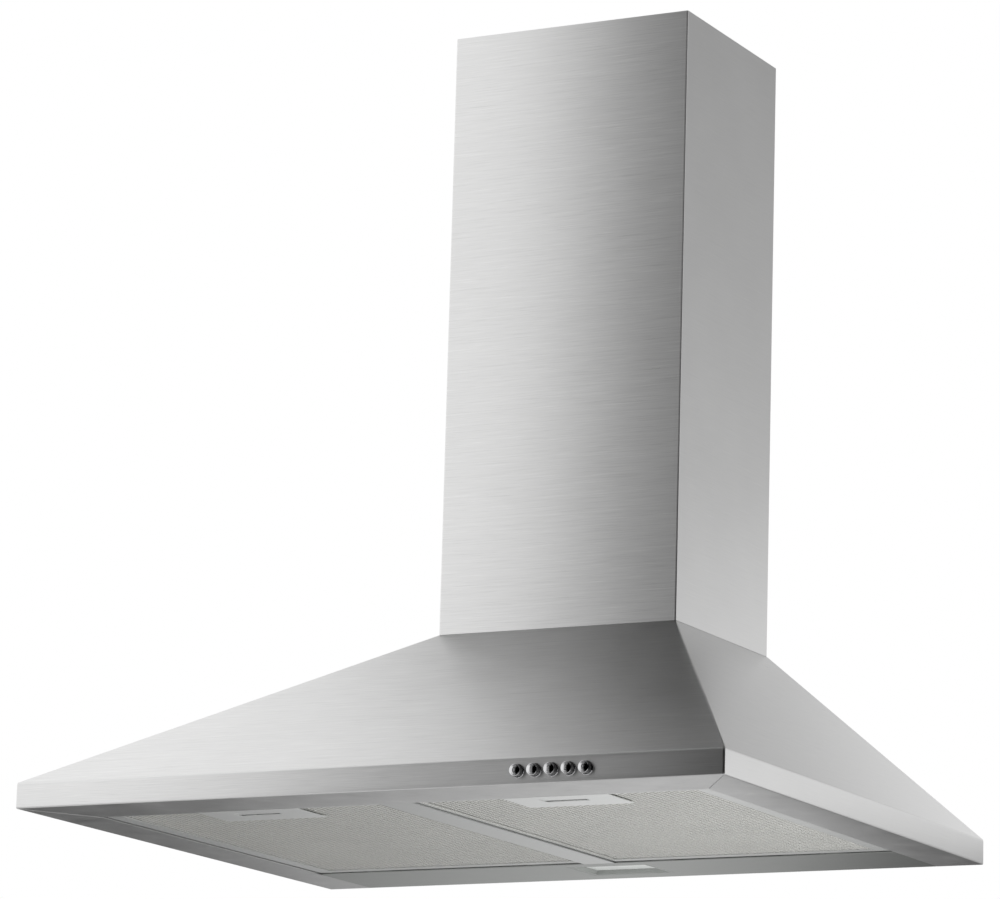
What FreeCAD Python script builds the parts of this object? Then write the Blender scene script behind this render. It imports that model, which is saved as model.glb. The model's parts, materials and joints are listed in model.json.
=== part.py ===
import FreeCAD, Part
import os
import re
import Sketcher

# A wall-mounted chimney range hood, 60 cm wide, in millimetres.
# +X is the hood's left to right as its user sees it, the front faces -Y, the wall is the plane Y = 0
# and the underside of the canopy is Z = 0. The origin is on the wall plane, midway across.

doc = FreeCAD.newDocument("ChimneyHood")
sheet = doc.addObject("Spreadsheet::Sheet", "Sizes")

# The driving dimensions. Each is one cell of the sheet, and every sub-part below is bound to them.
driving = {
    # canopy
    "hood_width": 600,
    "hood_depth": 500,
    "lip_height": 20,
    "slope_height": 160,
    "sheet_wall": 1,
    "rim_side": 40,
    "rim_front": 60,
    "rim_rear": 88,
    "top_flange": 12,
    "seam_gap": 0.3,
    "screw_slack": 0.1,
    # holes in the back panel, for the screws that hold the hood to the wall
    "wall_hole_radius": 4,
    "wall_hole_spacing": 200,
    "wall_hole_rise": 70,
    "wall_hole_foot": 60,
    # chimney
    "chimney_width": 214,
    "chimney_depth": 178,
    "chimney_height": 508,
    "chimney_return": 15,
    "sleeve_gap": 0.8,
    "sleeve_drop": 8,
    "bracket_drop": 48,
    "bracket_height": 30,
    "bracket_reach": 25,
    "bracket_hole_radius": 2.5,
    "bracket_hole_spacing": 120,
    # grease filters
    "bar_width": 28,
    "bar_height": 10,
    "bar_tab": 12,
    "filter_play": 1,
    "filter_recess": 1.2,
    "filter_thick": 9,
    "frame_wall": 0.8,
    "border_inner": 2,
    "border_outer": 13,
    "border_front": 9,
    "border_rear": 10,
    "tongue_width": 20,
    "tongue_reach": 8,
    "tongue_spread": 75,
    "mesh_sheet": 0.6,
    "mesh_columns": 9,
    "mesh_rows": 13,
    "mesh_bar": 5,
    # filter latches
    "plate_width": 87,
    "plate_length": 48,
    "plate_inset": 4,
    "latch_width": 30,
    "latch_bite": 3,
    "latch_travel": 4,
    "latch_sheet": 1.2,
    "thumb_width": 36,
    "thumb_length": 10,
    "thumb_inset": 15,
    "latch_play": 0.3,
    "cover_margin": 3,
    "cover_height": 6.8,
    # push buttons and switch
    "button_count": 5,
    "button_centre": 161.8,
    "button_pitch": 14,
    "button_radius": 4.5,
    "button_proud": 6.5,
    "button_length": 12.5,
    "button_travel": 3.5,
    "button_edge": 0.7,
    "button_play": 0.4,
    "bezel_wall": 0.5,
    "bezel_rim": 1.3,
    "bezel_proud": 1.2,
    "stem_side": 4,
    "stem_play": 0.3,
    "stem_length": 19.5,
    "hole_slack": 0.1,
    "button_stop": 0.5,
    "switch_height": 14,
    "switch_depth": 24,
    "switch_margin": 8,
    "switch_ear": 9,
    "switch_shelf": 2,
    # lamp
    "lamp_width": 73,
    "lamp_depth": 55,
    "lamp_from_wall": 48.5,
    "lamp_wall": 3,
    "lamp_recess": 3,
    "lamp_flange": 5,
    "lens_thick": 1.5,
    "lamp_box_height": 8,
    "diode_rows": 2,
    "diode_columns": 5,
    # blower
    "flange_setback": 14.3,
    "fan_clear": 3.6,
    "scroll_step": 5,
    "scroll_wall": 1.2,
    "scroll_half": 54,
    "outlet_depth": 106,
    "outlet_flange": 9,
    "wheel_gap": 2,
    "wheel_width": 96,
    "blade_depth": 11,
    "blade_thick": 1,
    "blade_count": 30,
    "hub_radius": 10,
    "hub_length": 16,
    "hub_inner": 12,
    "shaft_tail": 2,
    "inlet_lap": 9,
    "shaft_radius": 4,
    "shaft_play": 0.05,
    "shaft_clear": 1,
    "motor_gap": 10,
    "motor_start": 8,
    "bearing_radius": 9,
    "bearing_width": 6,
    "bush_height": 3,
    "bush_radius": 5,
    "bush_margin": 1,
    "arm_hub": 25.2,
    "arm_width": 14,
    "arm_sheet": 2,
    "guard_wire": 1.2,
    "guard_lap": 3,
    "guard_middle": 31.3,
    "guard_inner": 15.6,
    # deck, collar and non-return flaps
    "deck_sheet": 1.5,
    "deck_overlap": 5,
    "deck_screw_inset": 8,
    "collar_radius": 60,
    "collar_wall": 2,
    "collar_shift": 3.5,
    "collar_height": 42,
    "collar_flange": 66,
    "ledge_rise": 18,
    "ledge_width": 4,
    "flap_thick": 1,
    "flap_play": 1,
    "knuckle_radius": 2.2,
    "knuckle_count": 4,
    "knuckle_margin": 8,
    "knuckle_gap": 0.6,
    "web_half": 0.5,
    "web_lap": 2,
    "pin_radius": 1.4,
    "pin_bite": 1,
    "screw_radius": 2,
    "screw_head_radius": 3.6,
    "screw_head_height": 2,
    "screw_tail": 2,
    # electrical pieces on the deck
    "terminal_width": 30,
    "terminal_length": 56,
    "terminal_height": 28,
    "terminal_wall": 2,
    "terminal_gap": 3,
    "terminal_setback": 6,
    "gland_bore": 4,
    "gland_radius": 8,
    "gland_length": 20,
    "capacitor_radius": 14,
    "capacitor_height": 50,
    "clip_height": 12,
    "clip_wall": 1.5,
    "clip_mouth": 6,
}

# Sizes that follow from the driving ones.
following = {
    "half_width": "hood_width / 2",
    "canopy_top": "lip_height + slope_height",
    "side_run": "(hood_width - chimney_width) / 2",
    "front_run": "hood_depth - chimney_depth",
    "side_skin": "sheet_wall * sqrt(side_run ^ 2 + slope_height ^ 2) / slope_height",
    "front_skin": "sheet_wall * sqrt(front_run ^ 2 + slope_height ^ 2) / slope_height",
    "side_spread": "side_run * lip_height / slope_height",
    "front_spread": "front_run * lip_height / slope_height",
    "opening_side": "half_width - rim_side",
    "opening_front": "hood_depth - rim_front",
    "chimney_half": "chimney_width / 2",
    "sleeve_length": "chimney_height - sleeve_drop",
    "bracket_foot": "canopy_top + chimney_height - bracket_drop",
    "sleeve_half": "chimney_half - sheet_wall - sleeve_gap",
    "sleeve_front": "chimney_depth - sheet_wall - sleeve_gap",
    "sleeve_back": "sheet_wall + sleeve_gap",
    # filters, as distances from the middle plane and from the wall
    "filter_inner": "bar_width / 2 + filter_play",
    "filter_outer": "opening_side - filter_play",
    "filter_front": "opening_front - filter_play",
    "filter_rear": "rim_rear + filter_play",
    "filter_top": "filter_recess + filter_thick",
    "window_inner": "filter_inner + border_inner",
    "window_outer": "filter_outer - border_outer",
    "tray_inner": "filter_inner + frame_wall + latch_play",
    "tray_outer": "filter_outer - frame_wall - latch_play",
    "tray_front": "filter_front - frame_wall - latch_play",
    "tray_rear": "filter_rear + frame_wall + latch_play",
    "tray_floor": "filter_recess + frame_wall",
    "latch_centre": "(window_inner + window_outer) / 2",
    "latch_floor": "tray_floor + latch_play",
    "thumb_front": "opening_front - thumb_inset",
    "thumb_rear": "thumb_front - thumb_length",
    "latch_rear": "thumb_rear - 2 * latch_travel",
    "cover_half": "thumb_width / 2 + cover_margin",
    "cover_rear": "latch_rear - latch_travel - frame_wall - 3 * latch_play",
    "notch_rear": "cover_rear - latch_play",
    "notch_half": "cover_half + latch_play",
    # switch
    "button_height": "lip_height / 2",
    "lip_hole": "button_radius + button_play + bezel_wall + hole_slack",
    "cap_back": "hood_depth + button_proud - button_length",
    "switch_front": "cap_back - button_travel - button_stop",
    "switch_half": "button_pitch * (button_count - 1) / 2 + switch_margin",
    "switch_floor": "button_height - switch_height / 2",
    # lamp
    "lamp_half": "lamp_width / 2",
    "lamp_near": "lamp_from_wall - lamp_depth / 2",
    "lamp_far": "lamp_from_wall + lamp_depth / 2",
    "lamp_ceiling": "sheet_wall + lamp_wall + lamp_box_height",
    # blower
    "flange_front": "deck_front - flange_setback",
    "outlet_front": "flange_front - outlet_flange - scroll_wall",
    "spiral_offset": "scroll_step / 2",
    "scroll_radius": "(outlet_front - spiral_offset) / 2",
    "fan_from_wall": "outlet_front - spiral_offset - scroll_radius",
    "fan_rise": "filter_top + fan_clear + scroll_wall + scroll_radius",
    "wheel_radius": "scroll_radius - 3 * scroll_step - wheel_gap",
    "inlet_radius": "wheel_radius - inlet_lap",
    "motor_radius": "inlet_radius - motor_gap",
    "scroll_side": "scroll_half + scroll_wall",
    "outlet_rear": "outlet_front - outlet_depth",
    "outlet_foot": "fan_rise + spiral_offset",
    "flange_half": "scroll_side + outlet_flange",
    "flange_rear": "outlet_rear - scroll_wall - outlet_flange",
    "screw_column": "flange_half - outlet_flange / 2",
    "screw_front": "flange_front - outlet_flange / 2",
    "screw_rear": "flange_rear + outlet_flange / 2",
    "motor_end": "scroll_side + bush_height",
    "shaft_bore": "shaft_radius + shaft_play",
    "screw_hole": "screw_radius + screw_slack",
    "blade_root": "wheel_radius - blade_depth",
    "bush_place": "inlet_radius + bush_radius + bush_margin",
    # deck and collar
    "deck_half": "chimney_half - top_flange + deck_overlap",
    "deck_front": "chimney_depth - top_flange + deck_overlap",
    "deck_back": "top_flange - deck_overlap",
    "deck_top": "canopy_top + deck_sheet",
    "collar_from_wall": "(flange_front + flange_rear) / 2 - collar_shift",
    "collar_foot": "deck_top + deck_sheet",
    "collar_bore": "collar_radius - collar_wall",
    "ledge_top": "collar_foot + ledge_rise",
    "flap_floor": "ledge_top + seam_gap",
    "pin_height": "flap_floor + flap_thick + knuckle_radius",
    "pin_half": "collar_bore + pin_bite",
    "flap_radius": "collar_bore - flap_play",
    "flap_edge": "knuckle_radius + knuckle_gap",
    "knuckle_pitch": "2 * (flap_radius - knuckle_margin) / knuckle_count",
    "deck_screw_column": "deck_half - deck_overlap / 2",
    "deck_screw_front": "deck_front - deck_screw_inset",
    "deck_screw_back": "deck_back + deck_screw_inset",
    # electrical pieces
    "terminal_left": "collar_flange + terminal_gap",
    "terminal_mid": "terminal_left + terminal_width / 2",
    "terminal_front": "collar_from_wall + collar_flange - terminal_setback",
    "terminal_back": "terminal_front - terminal_length",
    "terminal_lid": "deck_top + terminal_height",
    "capacitor_column": "-(collar_flange + terminal_gap + capacitor_radius)",
}

for row, (alias, number) in enumerate(driving.items(), start=1):
    sheet.set(f"A{row}", alias)
    sheet.set(f"B{row}", str(number))
    sheet.setAlias(f"B{row}", alias)
doc.recompute()

V = FreeCAD.Vector
along_x = FreeCAD.Rotation(V(1, 1, 1), 120)  # turns local Z to the hood's X, and local X to its Y
along_y = FreeCAD.Rotation(V(1, 0, 0), 90)  # turns local Z to the front, -Y
sub_parts = {}


def size(text):
    """An expression in which each name stands for its cell or for what it follows from."""

    def spell(match):
        word = match.group(0)
        if word in following:
            return "(" + size(following[word]) + ")"
        if word in driving:
            return "Sizes." + word
        return word

    return re.sub(r"[A-Za-z_]\w*", spell, str(text))


def worth(text):
    """The number that an expression has now."""
    return float(sheet.evalExpression(size(text)))


def bind(thing, **expressions):
    """Binds properties to expressions; place_x, place_y and place_z are those of the Placement."""
    for name, text in expressions.items():
        path = ".Placement.Base." + name[-1] if name.startswith("place_") else name
        thing.setExpression(path, size(text))
    return thing


def keep(label, thing):
    """Names a finished sub-part."""
    thing.Label = label
    sub_parts[label] = thing
    return thing


# --- sketched bodies ---


def new_body(name, turn=None, **places):
    body = doc.addObject("PartDesign::Body", name + "_body")
    if turn:
        body.Placement = FreeCAD.Placement(V(), turn)
    return bind(body, **places)


def new_sketch(body, role, height="0"):
    """A sketch on one of the body's own origin planes, moved along that plane's normal."""
    plane = next(f for f in body.Origin.OriginFeatures if f.Role == role)
    sketch = body.newObject("Sketcher::SketchObject", "Sketch")
    sketch.AttachmentSupport = [(plane, "")]
    sketch.MapMode = "FlatFace"
    sketch.setExpression(".AttachmentOffset.Base.z", size(height))
    return sketch


def set_point(sketch, geometry, end, x, y):
    """Ties a point's two coordinates to expressions."""
    for axis, text in (("DistanceX", x), ("DistanceY", y)):
        number = sketch.addConstraint(Sketcher.Constraint(axis, geometry, end, worth(text)))
        sketch.setExpression(f"Constraints[{number}]", size(text))


def polygon(sketch, points):
    """A closed outline through points given as pairs of expressions."""
    corners = [V(worth(x), worth(y), 0) for x, y in points]
    first = sketch.GeometryCount
    for number, corner in enumerate(corners):
        ahead = corners[(number + 1) % len(corners)]
        sketch.addGeometry(Part.LineSegment(corner, ahead), False)
    for number in range(len(corners)):
        ahead = first + (number + 1) % len(corners)
        sketch.addConstraint(Sketcher.Constraint("Coincident", first + number, 2, ahead, 1))
    for number, (x, y) in enumerate(points):
        set_point(sketch, first + number, 1, x, y)
    return sketch


def rectangle(sketch, x0, y0, x1, y1):
    return polygon(sketch, [(x0, y0), (x1, y0), (x1, y1), (x0, y1)])


def circle(sketch, x, y, radius):
    middle = V(worth(x), worth(y), 0)
    number = sketch.addGeometry(Part.Circle(middle, V(0, 0, 1), worth(radius)), False)
    set_point(sketch, number, 3, x, y)
    ring = sketch.addConstraint(Sketcher.Constraint("Radius", number, worth(radius)))
    sketch.setExpression(f"Constraints[{ring}]", size(radius))
    return sketch


def pad(body, sketch, length):
    feature = body.newObject("PartDesign::Pad", "Pad")
    feature.Profile = sketch
    feature.setExpression("Length", size(length))
    doc.recompute()
    return feature


def pocket(body, sketch, length, flip=False):
    """Cuts against the sketch's normal, or along it, and makes sure that something was cut."""
    before = body.Shape.Volume
    feature = body.newObject("PartDesign::Pocket", "Pocket")
    feature.Profile = sketch
    feature.Reversed = flip
    feature.setExpression("Length", size(length))
    doc.recompute()
    if body.Shape.Volume >= before:
        raise RuntimeError(body.Name + ": a pocket cut nothing")
    return feature


def revolve(body, sketch):
    """Turns a half section about the sketch's vertical axis."""
    feature = body.newObject("PartDesign::Revolution", "Revolution")
    feature.Profile = sketch
    feature.ReferenceAxis = (sketch, ["V_Axis"])
    feature.Angle = 360
    doc.recompute()
    return feature


def polar(body, feature, count):
    """Repeats a feature round the body's own Z axis."""
    axis = next(f for f in body.Origin.OriginFeatures if f.Role == "Z_Axis")
    pattern = body.newObject("PartDesign::PolarPattern", "Pattern")
    pattern.Originals = [feature]
    pattern.Axis = (axis, [""])
    pattern.Angle = 360
    pattern.setExpression("Occurrences", size(count))
    body.Tip = pattern
    doc.recompute()
    return pattern


# --- primitives and booleans ---


def box(x0, x1, y0, y1, z0, z1):
    """A block between two corners, each given as expressions."""
    block = doc.addObject("Part::Box", "Block")
    bind(block, Length=f"({x1}) - ({x0})", Width=f"({y1}) - ({y0})", Height=f"({z1}) - ({z0})")
    return bind(block, place_x=x0, place_y=y0, place_z=z0)


def cylinder(x, y, z, radius, length, turn=None, sector=360):
    round_bar = doc.addObject("Part::Cylinder", "Round")
    round_bar.Angle = sector
    if turn:
        round_bar.Placement = FreeCAD.Placement(V(), turn)
    return bind(round_bar, Radius=radius, Height=length, place_x=x, place_y=y, place_z=z)


def pyramid(inset_side, inset_front, back):
    """The canopy's sloping planes, carried down to Z = 0 and moved inwards by the two insets."""
    wedge = doc.addObject("Part::Wedge", "Slopes")
    wedge.Placement = FreeCAD.Placement(V(), along_y)
    foot = f"half_width + side_spread - ({inset_side})"
    head = f"chimney_half - ({inset_side})"
    bind(wedge, Xmin=f"-({foot})", Xmax=foot, X2min=f"-({head})", X2max=head)
    bind(wedge, Ymin="0", Ymax="canopy_top", Zmin=f"-({back})", Z2min=f"-({back})")
    bind(wedge, Zmax=f"hood_depth + front_spread - ({inset_front})")
    return bind(wedge, Z2max=f"chimney_depth - ({inset_front})")


def cut(base, *tools):
    result = doc.addObject("Part::Cut", "Cut")
    result.Base = base
    result.Tool = tools[0] if len(tools) == 1 else fuse(*tools)
    return result


def fuse(*things):
    result = doc.addObject("Part::MultiFuse", "Fusion")
    result.Shapes = list(things)
    return result


def common(*things):
    result = doc.addObject("Part::MultiCommon", "Common")
    result.Shapes = list(things)
    return result


def group(things):
    """Separate solids that share one node."""
    result = doc.addObject("Part::Compound", "Group")
    result.Links = list(things)
    return result


def screw(x, y, head_foot, reach):
    """A vertical pan-head screw: its head stands on head_foot and its shank goes down from there."""
    shank = cylinder(x, y, f"{head_foot} - ({reach})", "screw_radius", reach)
    head = cylinder(x, y, head_foot, "screw_head_radius", "screw_head_height")
    return fuse(shank, head)


def button_places():
    """Each button's X, left to right."""
    count = driving["button_count"]
    return [f"button_centre + {number - (count - 1) / 2} * button_pitch" for number in range(count)]


# --- canopy ---


def make_canopy_shell():
    """Folded and welded sheet: the slopes, the lip, the underside rim and the seat for the chimney."""
    outside = common(
        box("-half_width", "half_width", "-hood_depth", "0", "0", "canopy_top"),
        pyramid("0", "0", "0"),
    )
    inner_half = "half_width - sheet_wall"
    inside = common(
        box(f"-({inner_half})", inner_half, "sheet_wall - hood_depth", "sheet_wall",
            "sheet_wall", "canopy_top - sheet_wall"),
        pyramid("side_skin", "front_skin", "sheet_wall"),
    )
    underside = box("-opening_side", "opening_side", "-opening_front", "sheet_wall",
                    "-sheet_wall", "2 * sheet_wall")
    mouth_half = "chimney_half - top_flange"
    mouth = box(f"-({mouth_half})", mouth_half, "top_flange - chimney_depth", "-top_flange",
                "canopy_top - 2 * sheet_wall", "canopy_top + sheet_wall")
    holes = [
        cylinder(x, "2 * sheet_wall - hood_depth", "button_height", "lip_hole", "4 * sheet_wall", along_y)
        for x in button_places()
    ]
    holes += [
        cylinder(f"{side} * deck_screw_column", f"-{row}", "canopy_top - 2 * sheet_wall",
                 "screw_hole", "4 * sheet_wall")
        for side in (-1, 1)
        for row in ("deck_screw_front", "deck_screw_back")
    ]
    keep("canopy_shell", cut(outside, inside, underside, mouth, *holes))


def make_back_panel():
    """The sheet that closes the canopy at the wall, with the four holes that it hangs by."""
    body = new_body("back_panel")
    slack = "(seam_gap * side_skin / sheet_wall)"
    wide = "(half_width - sheet_wall - seam_gap)"
    shoulder = f"lip_height - (side_skin + {slack} - sheet_wall - seam_gap) * slope_height / side_run"
    crown = "canopy_top - sheet_wall - seam_gap"
    narrow = f"(half_width - side_skin - {slack} - ({crown} - lip_height) * side_run / slope_height)"
    foot = "sheet_wall + seam_gap"
    sketch = new_sketch(body, "XZ_Plane")
    polygon(sketch, [
        (f"-{wide}", foot), (wide, foot), (wide, shoulder),
        (narrow, crown), (f"-{narrow}", crown), (f"-{wide}", shoulder),
    ])
    for side in (-1, 1):
        for row in ("wall_hole_foot", "wall_hole_foot + wall_hole_rise"):
            circle(sketch, f"{side} * wall_hole_spacing / 2", row, "wall_hole_radius")
    pad(body, sketch, "sheet_wall")
    keep("canopy_back_panel", body)


def make_lamp_panel():
    """The fixed strip of the underside behind the filters, which holds the lamp."""
    body = new_body("lamp_panel")
    sketch = new_sketch(body, "XY_Plane")
    reach = "(opening_side - seam_gap)"
    rectangle(sketch, f"-{reach}", "-rim_rear", reach, "0")
    rectangle(sketch, "-lamp_half", "-lamp_far", "lamp_half", "-lamp_near")
    pad(body, sketch, "sheet_wall")
    keep("lamp_panel", body)


def make_centre_bar():
    """The channel between the two filters, with a tab over the rim at each end."""
    body = new_body("centre_bar")
    sketch = new_sketch(body, "XZ_Plane", "rim_rear + seam_gap")
    out = "bar_width / 2"
    wall = "(bar_width / 2 - sheet_wall)"
    polygon(sketch, [
        (f"-{out}", "0"), (out, "0"), (out, "bar_height"), (wall, "bar_height"), (wall, "sheet_wall"),
        (f"-{wall}", "sheet_wall"), (f"-{wall}", "bar_height"), (f"-{out}", "bar_height"),
    ])
    pad(body, sketch, "opening_front - rim_rear - 2 * seam_gap")
    tabs = new_sketch(body, "XY_Plane", "sheet_wall")
    half = "(bar_width / 2 - 2 * sheet_wall)"
    rectangle(tabs, f"-{half}", "-opening_front - bar_tab", half, "-opening_front + bar_tab")
    rectangle(tabs, f"-{half}", "-rim_rear - bar_tab", half, "-lamp_far - lamp_flange - seam_gap")
    pad(body, tabs, "sheet_wall")
    keep("centre_bar", body)


# --- grease filters; side is -1 for the left one and 1 for the right one ---


def make_filter_frame(label, side):
    """A folded tray whose window shows the mesh; two tongues at the rear rest on the lamp panel."""
    body = new_body(label)
    outline = (f"{side} * filter_inner", "-filter_front", f"{side} * filter_outer", "-filter_rear")
    floor = new_sketch(body, "XY_Plane", "filter_recess")
    rectangle(floor, *outline)
    rectangle(floor, f"{side} * window_inner", "border_front - filter_front",
              f"{side} * window_outer", "-filter_rear - border_rear")
    pad(body, floor, "frame_wall")
    walls = new_sketch(body, "XY_Plane", "filter_recess")
    rectangle(walls, *outline)
    rectangle(walls, f"{side} * (filter_inner + frame_wall)", "frame_wall - filter_front",
              f"{side} * (filter_outer - frame_wall)", "-filter_rear - frame_wall")
    pad(body, walls, "filter_thick")
    tongues = new_sketch(body, "XY_Plane", "sheet_wall + seam_gap")
    for place in (-1, 1):
        middle = f"{side} * latch_centre + {place} * tongue_spread"
        rectangle(tongues, f"{middle} - tongue_width / 2", "-filter_rear - frame_wall / 2",
                  f"{middle} + tongue_width / 2", "tongue_reach - rim_rear")
    pad(body, tongues, "sheet_wall")
    slot = new_sketch(body, "XZ_Plane", "filter_front")
    half = "(latch_width / 2 + latch_play)"
    rectangle(slot, f"{side} * latch_centre - {half}", "latch_floor - latch_play / 2",
              f"{side} * latch_centre + {half}", "latch_floor + latch_sheet + latch_play")
    pocket(body, slot, "frame_wall")
    keep(label, body)


def notched_corners(side):
    """The plan of what lies in the tray, with a notch at the front for the latch."""
    return [
        (f"{side} * tray_inner", "-tray_rear"), (f"{side} * tray_outer", "-tray_rear"),
        (f"{side} * tray_outer", "-tray_front"),
        (f"{side} * (latch_centre + notch_half)", "-tray_front"),
        (f"{side} * (latch_centre + notch_half)", "-notch_rear"),
        (f"{side} * (latch_centre - notch_half)", "-notch_rear"),
        (f"{side} * (latch_centre - notch_half)", "-tray_front"),
        (f"{side} * tray_inner", "-tray_front"),
    ]


def make_filter_core(label, side):
    """The layers of fine aluminium net that catch the grease, as one pad of their real size."""
    body = new_body(label)
    sketch = new_sketch(body, "XY_Plane", "tray_floor + mesh_sheet")
    polygon(sketch, notched_corners(side))
    pad(body, sketch, "filter_thick - frame_wall - 2 * mesh_sheet - 2 * latch_play")
    keep(label, body)


def make_filter_mesh(label, side, floor, notched):
    """One sheet of net: a single face with its gaps, given its thickness."""
    low_x, high_x = sorted((worth(f"{side} * tray_inner"), worth(f"{side} * tray_outer")))
    low_y, high_y = -worth("tray_front"), -worth("tray_rear")
    if notched:
        plan = [V(worth(x), worth(y), 0) for x, y in notched_corners(side)]
    else:
        plan = [V(low_x, low_y, 0), V(high_x, low_y, 0), V(high_x, high_y, 0), V(low_x, high_y, 0)]
    margin = worth("border_front")
    columns, rows = int(worth("mesh_columns")), int(worth("mesh_rows"))
    step_x = (high_x - low_x - 2 * margin) / columns
    step_y = (high_y - low_y - 2 * margin) / rows
    half_x, half_y = (step_x - worth("mesh_bar")) / 2, (step_y - worth("mesh_bar")) / 2
    clear_x = worth("notch_half") + half_x + worth("mesh_bar") / 2
    clear_y = -worth("notch_rear") + half_y + worth("mesh_bar") / 2
    gaps = []
    for column in range(columns):
        for row in range(rows):
            x = low_x + margin + (column + 0.5) * step_x
            y = low_y + margin + (row + 0.5) * step_y
            if notched and abs(x - side * worth("latch_centre")) < clear_x and y < clear_y:
                continue
            ring = [V(x - half_x, y, 0), V(x, y + half_y, 0), V(x + half_x, y, 0), V(x, y - half_y, 0)]
            gaps.append(Part.makePolygon(ring + ring[:1]))
    face = Part.Face([Part.makePolygon(plan + plan[:1])] + gaps)
    face.fix(0, 0, 0)
    mesh = doc.addObject("Part::Feature", label + "_sheet")
    mesh.Shape = face.extrude(V(0, 0, worth("mesh_sheet")))
    mesh.Placement = FreeCAD.Placement(V(0, 0, worth(floor)), FreeCAD.Rotation())
    keep(label, mesh)


def make_latch_plate(label, side):
    """The blank plate at the front of a filter, with the slot that the thumb piece slides in."""
    body = new_body(label)
    sketch = new_sketch(body, "XY_Plane", "filter_recess - frame_wall")
    middle = f"{side} * latch_centre"
    rectangle(sketch, f"{middle} - plate_width / 2", "plate_inset - opening_front",
              f"{middle} + plate_width / 2", "plate_inset + plate_length - opening_front")
    rectangle(sketch, f"{middle} - thumb_width / 2 - latch_play", "-thumb_front - latch_play",
              f"{middle} + thumb_width / 2 + latch_play", "-thumb_rear + latch_travel + latch_play")
    pad(body, sketch, "frame_wall")
    keep(label, body)


def make_latch(label, side):
    """The slider: a tongue that passes over the front rim, and the thumb piece below it."""
    body = new_body(label)
    middle = f"{side} * latch_centre"
    slide = new_sketch(body, "XY_Plane", "latch_floor")
    rectangle(slide, f"{middle} - latch_width / 2", "-opening_front - latch_bite",
              f"{middle} + latch_width / 2", "-latch_rear")
    pad(body, slide, "latch_sheet")
    thumb = new_sketch(body, "XY_Plane", "filter_recess - frame_wall / 2")
    rectangle(thumb, f"{middle} - thumb_width / 2", "-thumb_front",
              f"{middle} + thumb_width / 2", "-thumb_rear")
    pad(body, thumb, "latch_floor + latch_sheet - filter_recess + frame_wall / 2")
    keep(label, body)


def make_latch_cover(label, side):
    """The cap over the slider, open below and at the front, which also backs the spring."""
    middle = f"{side} * latch_centre"
    outer = box(f"{middle} - cover_half", f"{middle} + cover_half", "-tray_front", "-cover_rear",
                "tray_floor", "tray_floor + cover_height")
    inner = box(f"{middle} - cover_half + frame_wall", f"{middle} + cover_half - frame_wall",
                "-tray_front - frame_wall", "-cover_rear - frame_wall",
                "tray_floor - frame_wall", "tray_floor + cover_height - frame_wall")
    keep(label, cut(outer, inner))


def make_latch_spring(label, side):
    """A bowed leaf between the slider and the cover's rear wall."""
    body = new_body(label)
    middle = f"{side} * latch_centre"
    seat = "(-cover_rear - frame_wall - latch_play)"
    crest = "(-latch_rear + latch_play)"
    leaf = "latch_play * 2"
    half = "latch_width / 3"
    sketch = new_sketch(body, "XY_Plane", "latch_floor")
    polygon(sketch, [
        (f"{middle} - {half}", seat), (middle, crest), (f"{middle} + {half}", seat),
        (f"{middle} + {half} - {leaf}", seat), (middle, f"{crest} + {leaf}"),
        (f"{middle} - {half} + {leaf}", seat),
    ])
    pad(body, sketch, "latch_sheet")
    keep(label, body)


def make_filter(name, side):
    make_filter_frame(f"{name}_frame", side)
    make_filter_mesh(f"{name}_face_mesh", side, "tray_floor", True)
    make_filter_core(f"{name}_core", side)
    make_filter_mesh(f"{name}_back_mesh", side, "filter_top - mesh_sheet - latch_play", False)
    make_latch_plate(f"{name}_latch_plate", side)
    make_latch_cover(f"{name}_latch_cover", side)
    make_latch(f"{name}_latch", side)
    make_latch_spring(f"{name}_latch_spring", side)


# --- push buttons and their switch ---


def make_button(label, x):
    """A round cap with an eased edge, and the square stem that works the switch."""
    body = new_body(label, place_x=x, place_y="-hood_depth", place_z="button_height")
    face = new_sketch(body, "XZ_Plane", "button_proud - button_length")
    circle(face, "0", "0", "button_radius")
    cap = pad(body, face, "button_length")
    front = min(cap.Shape.Faces, key=lambda f: f.CenterOfMass.y)
    rim = next(n for n, e in enumerate(cap.Shape.Edges, 1) if e.isSame(front.Edges[0]))
    ease = body.newObject("PartDesign::Fillet", "Ease")
    ease.Base = (cap, [f"Edge{rim}"])
    ease.setExpression("Radius", size("button_edge"))
    doc.recompute()
    stem = new_sketch(body, "XZ_Plane", "button_proud - button_length - stem_length")
    rectangle(stem, "-stem_side / 2", "-stem_side / 2", "stem_side / 2", "stem_side / 2")
    pad(body, stem, "stem_length + button_edge")
    keep(label, body)


def make_bezels():
    """The plain rings round the buttons, each with a collar through the lip."""
    rings = []
    for x in button_places():
        collar = cylinder(x, "2 * sheet_wall - hood_depth", "button_height",
                          "button_radius + button_play + bezel_wall", "2 * sheet_wall + bezel_proud", along_y)
        rim = cylinder(x, "-hood_depth", "button_height",
                       "button_radius + button_play + bezel_wall + bezel_rim", "bezel_proud", along_y)
        bore = cylinder(x, "3 * sheet_wall - hood_depth", "button_height", "button_radius + button_play",
                        "6 * sheet_wall", along_y)
        rings.append(cut(fuse(collar, rim), bore))
    keep("button_bezels", group(rings))


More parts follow.
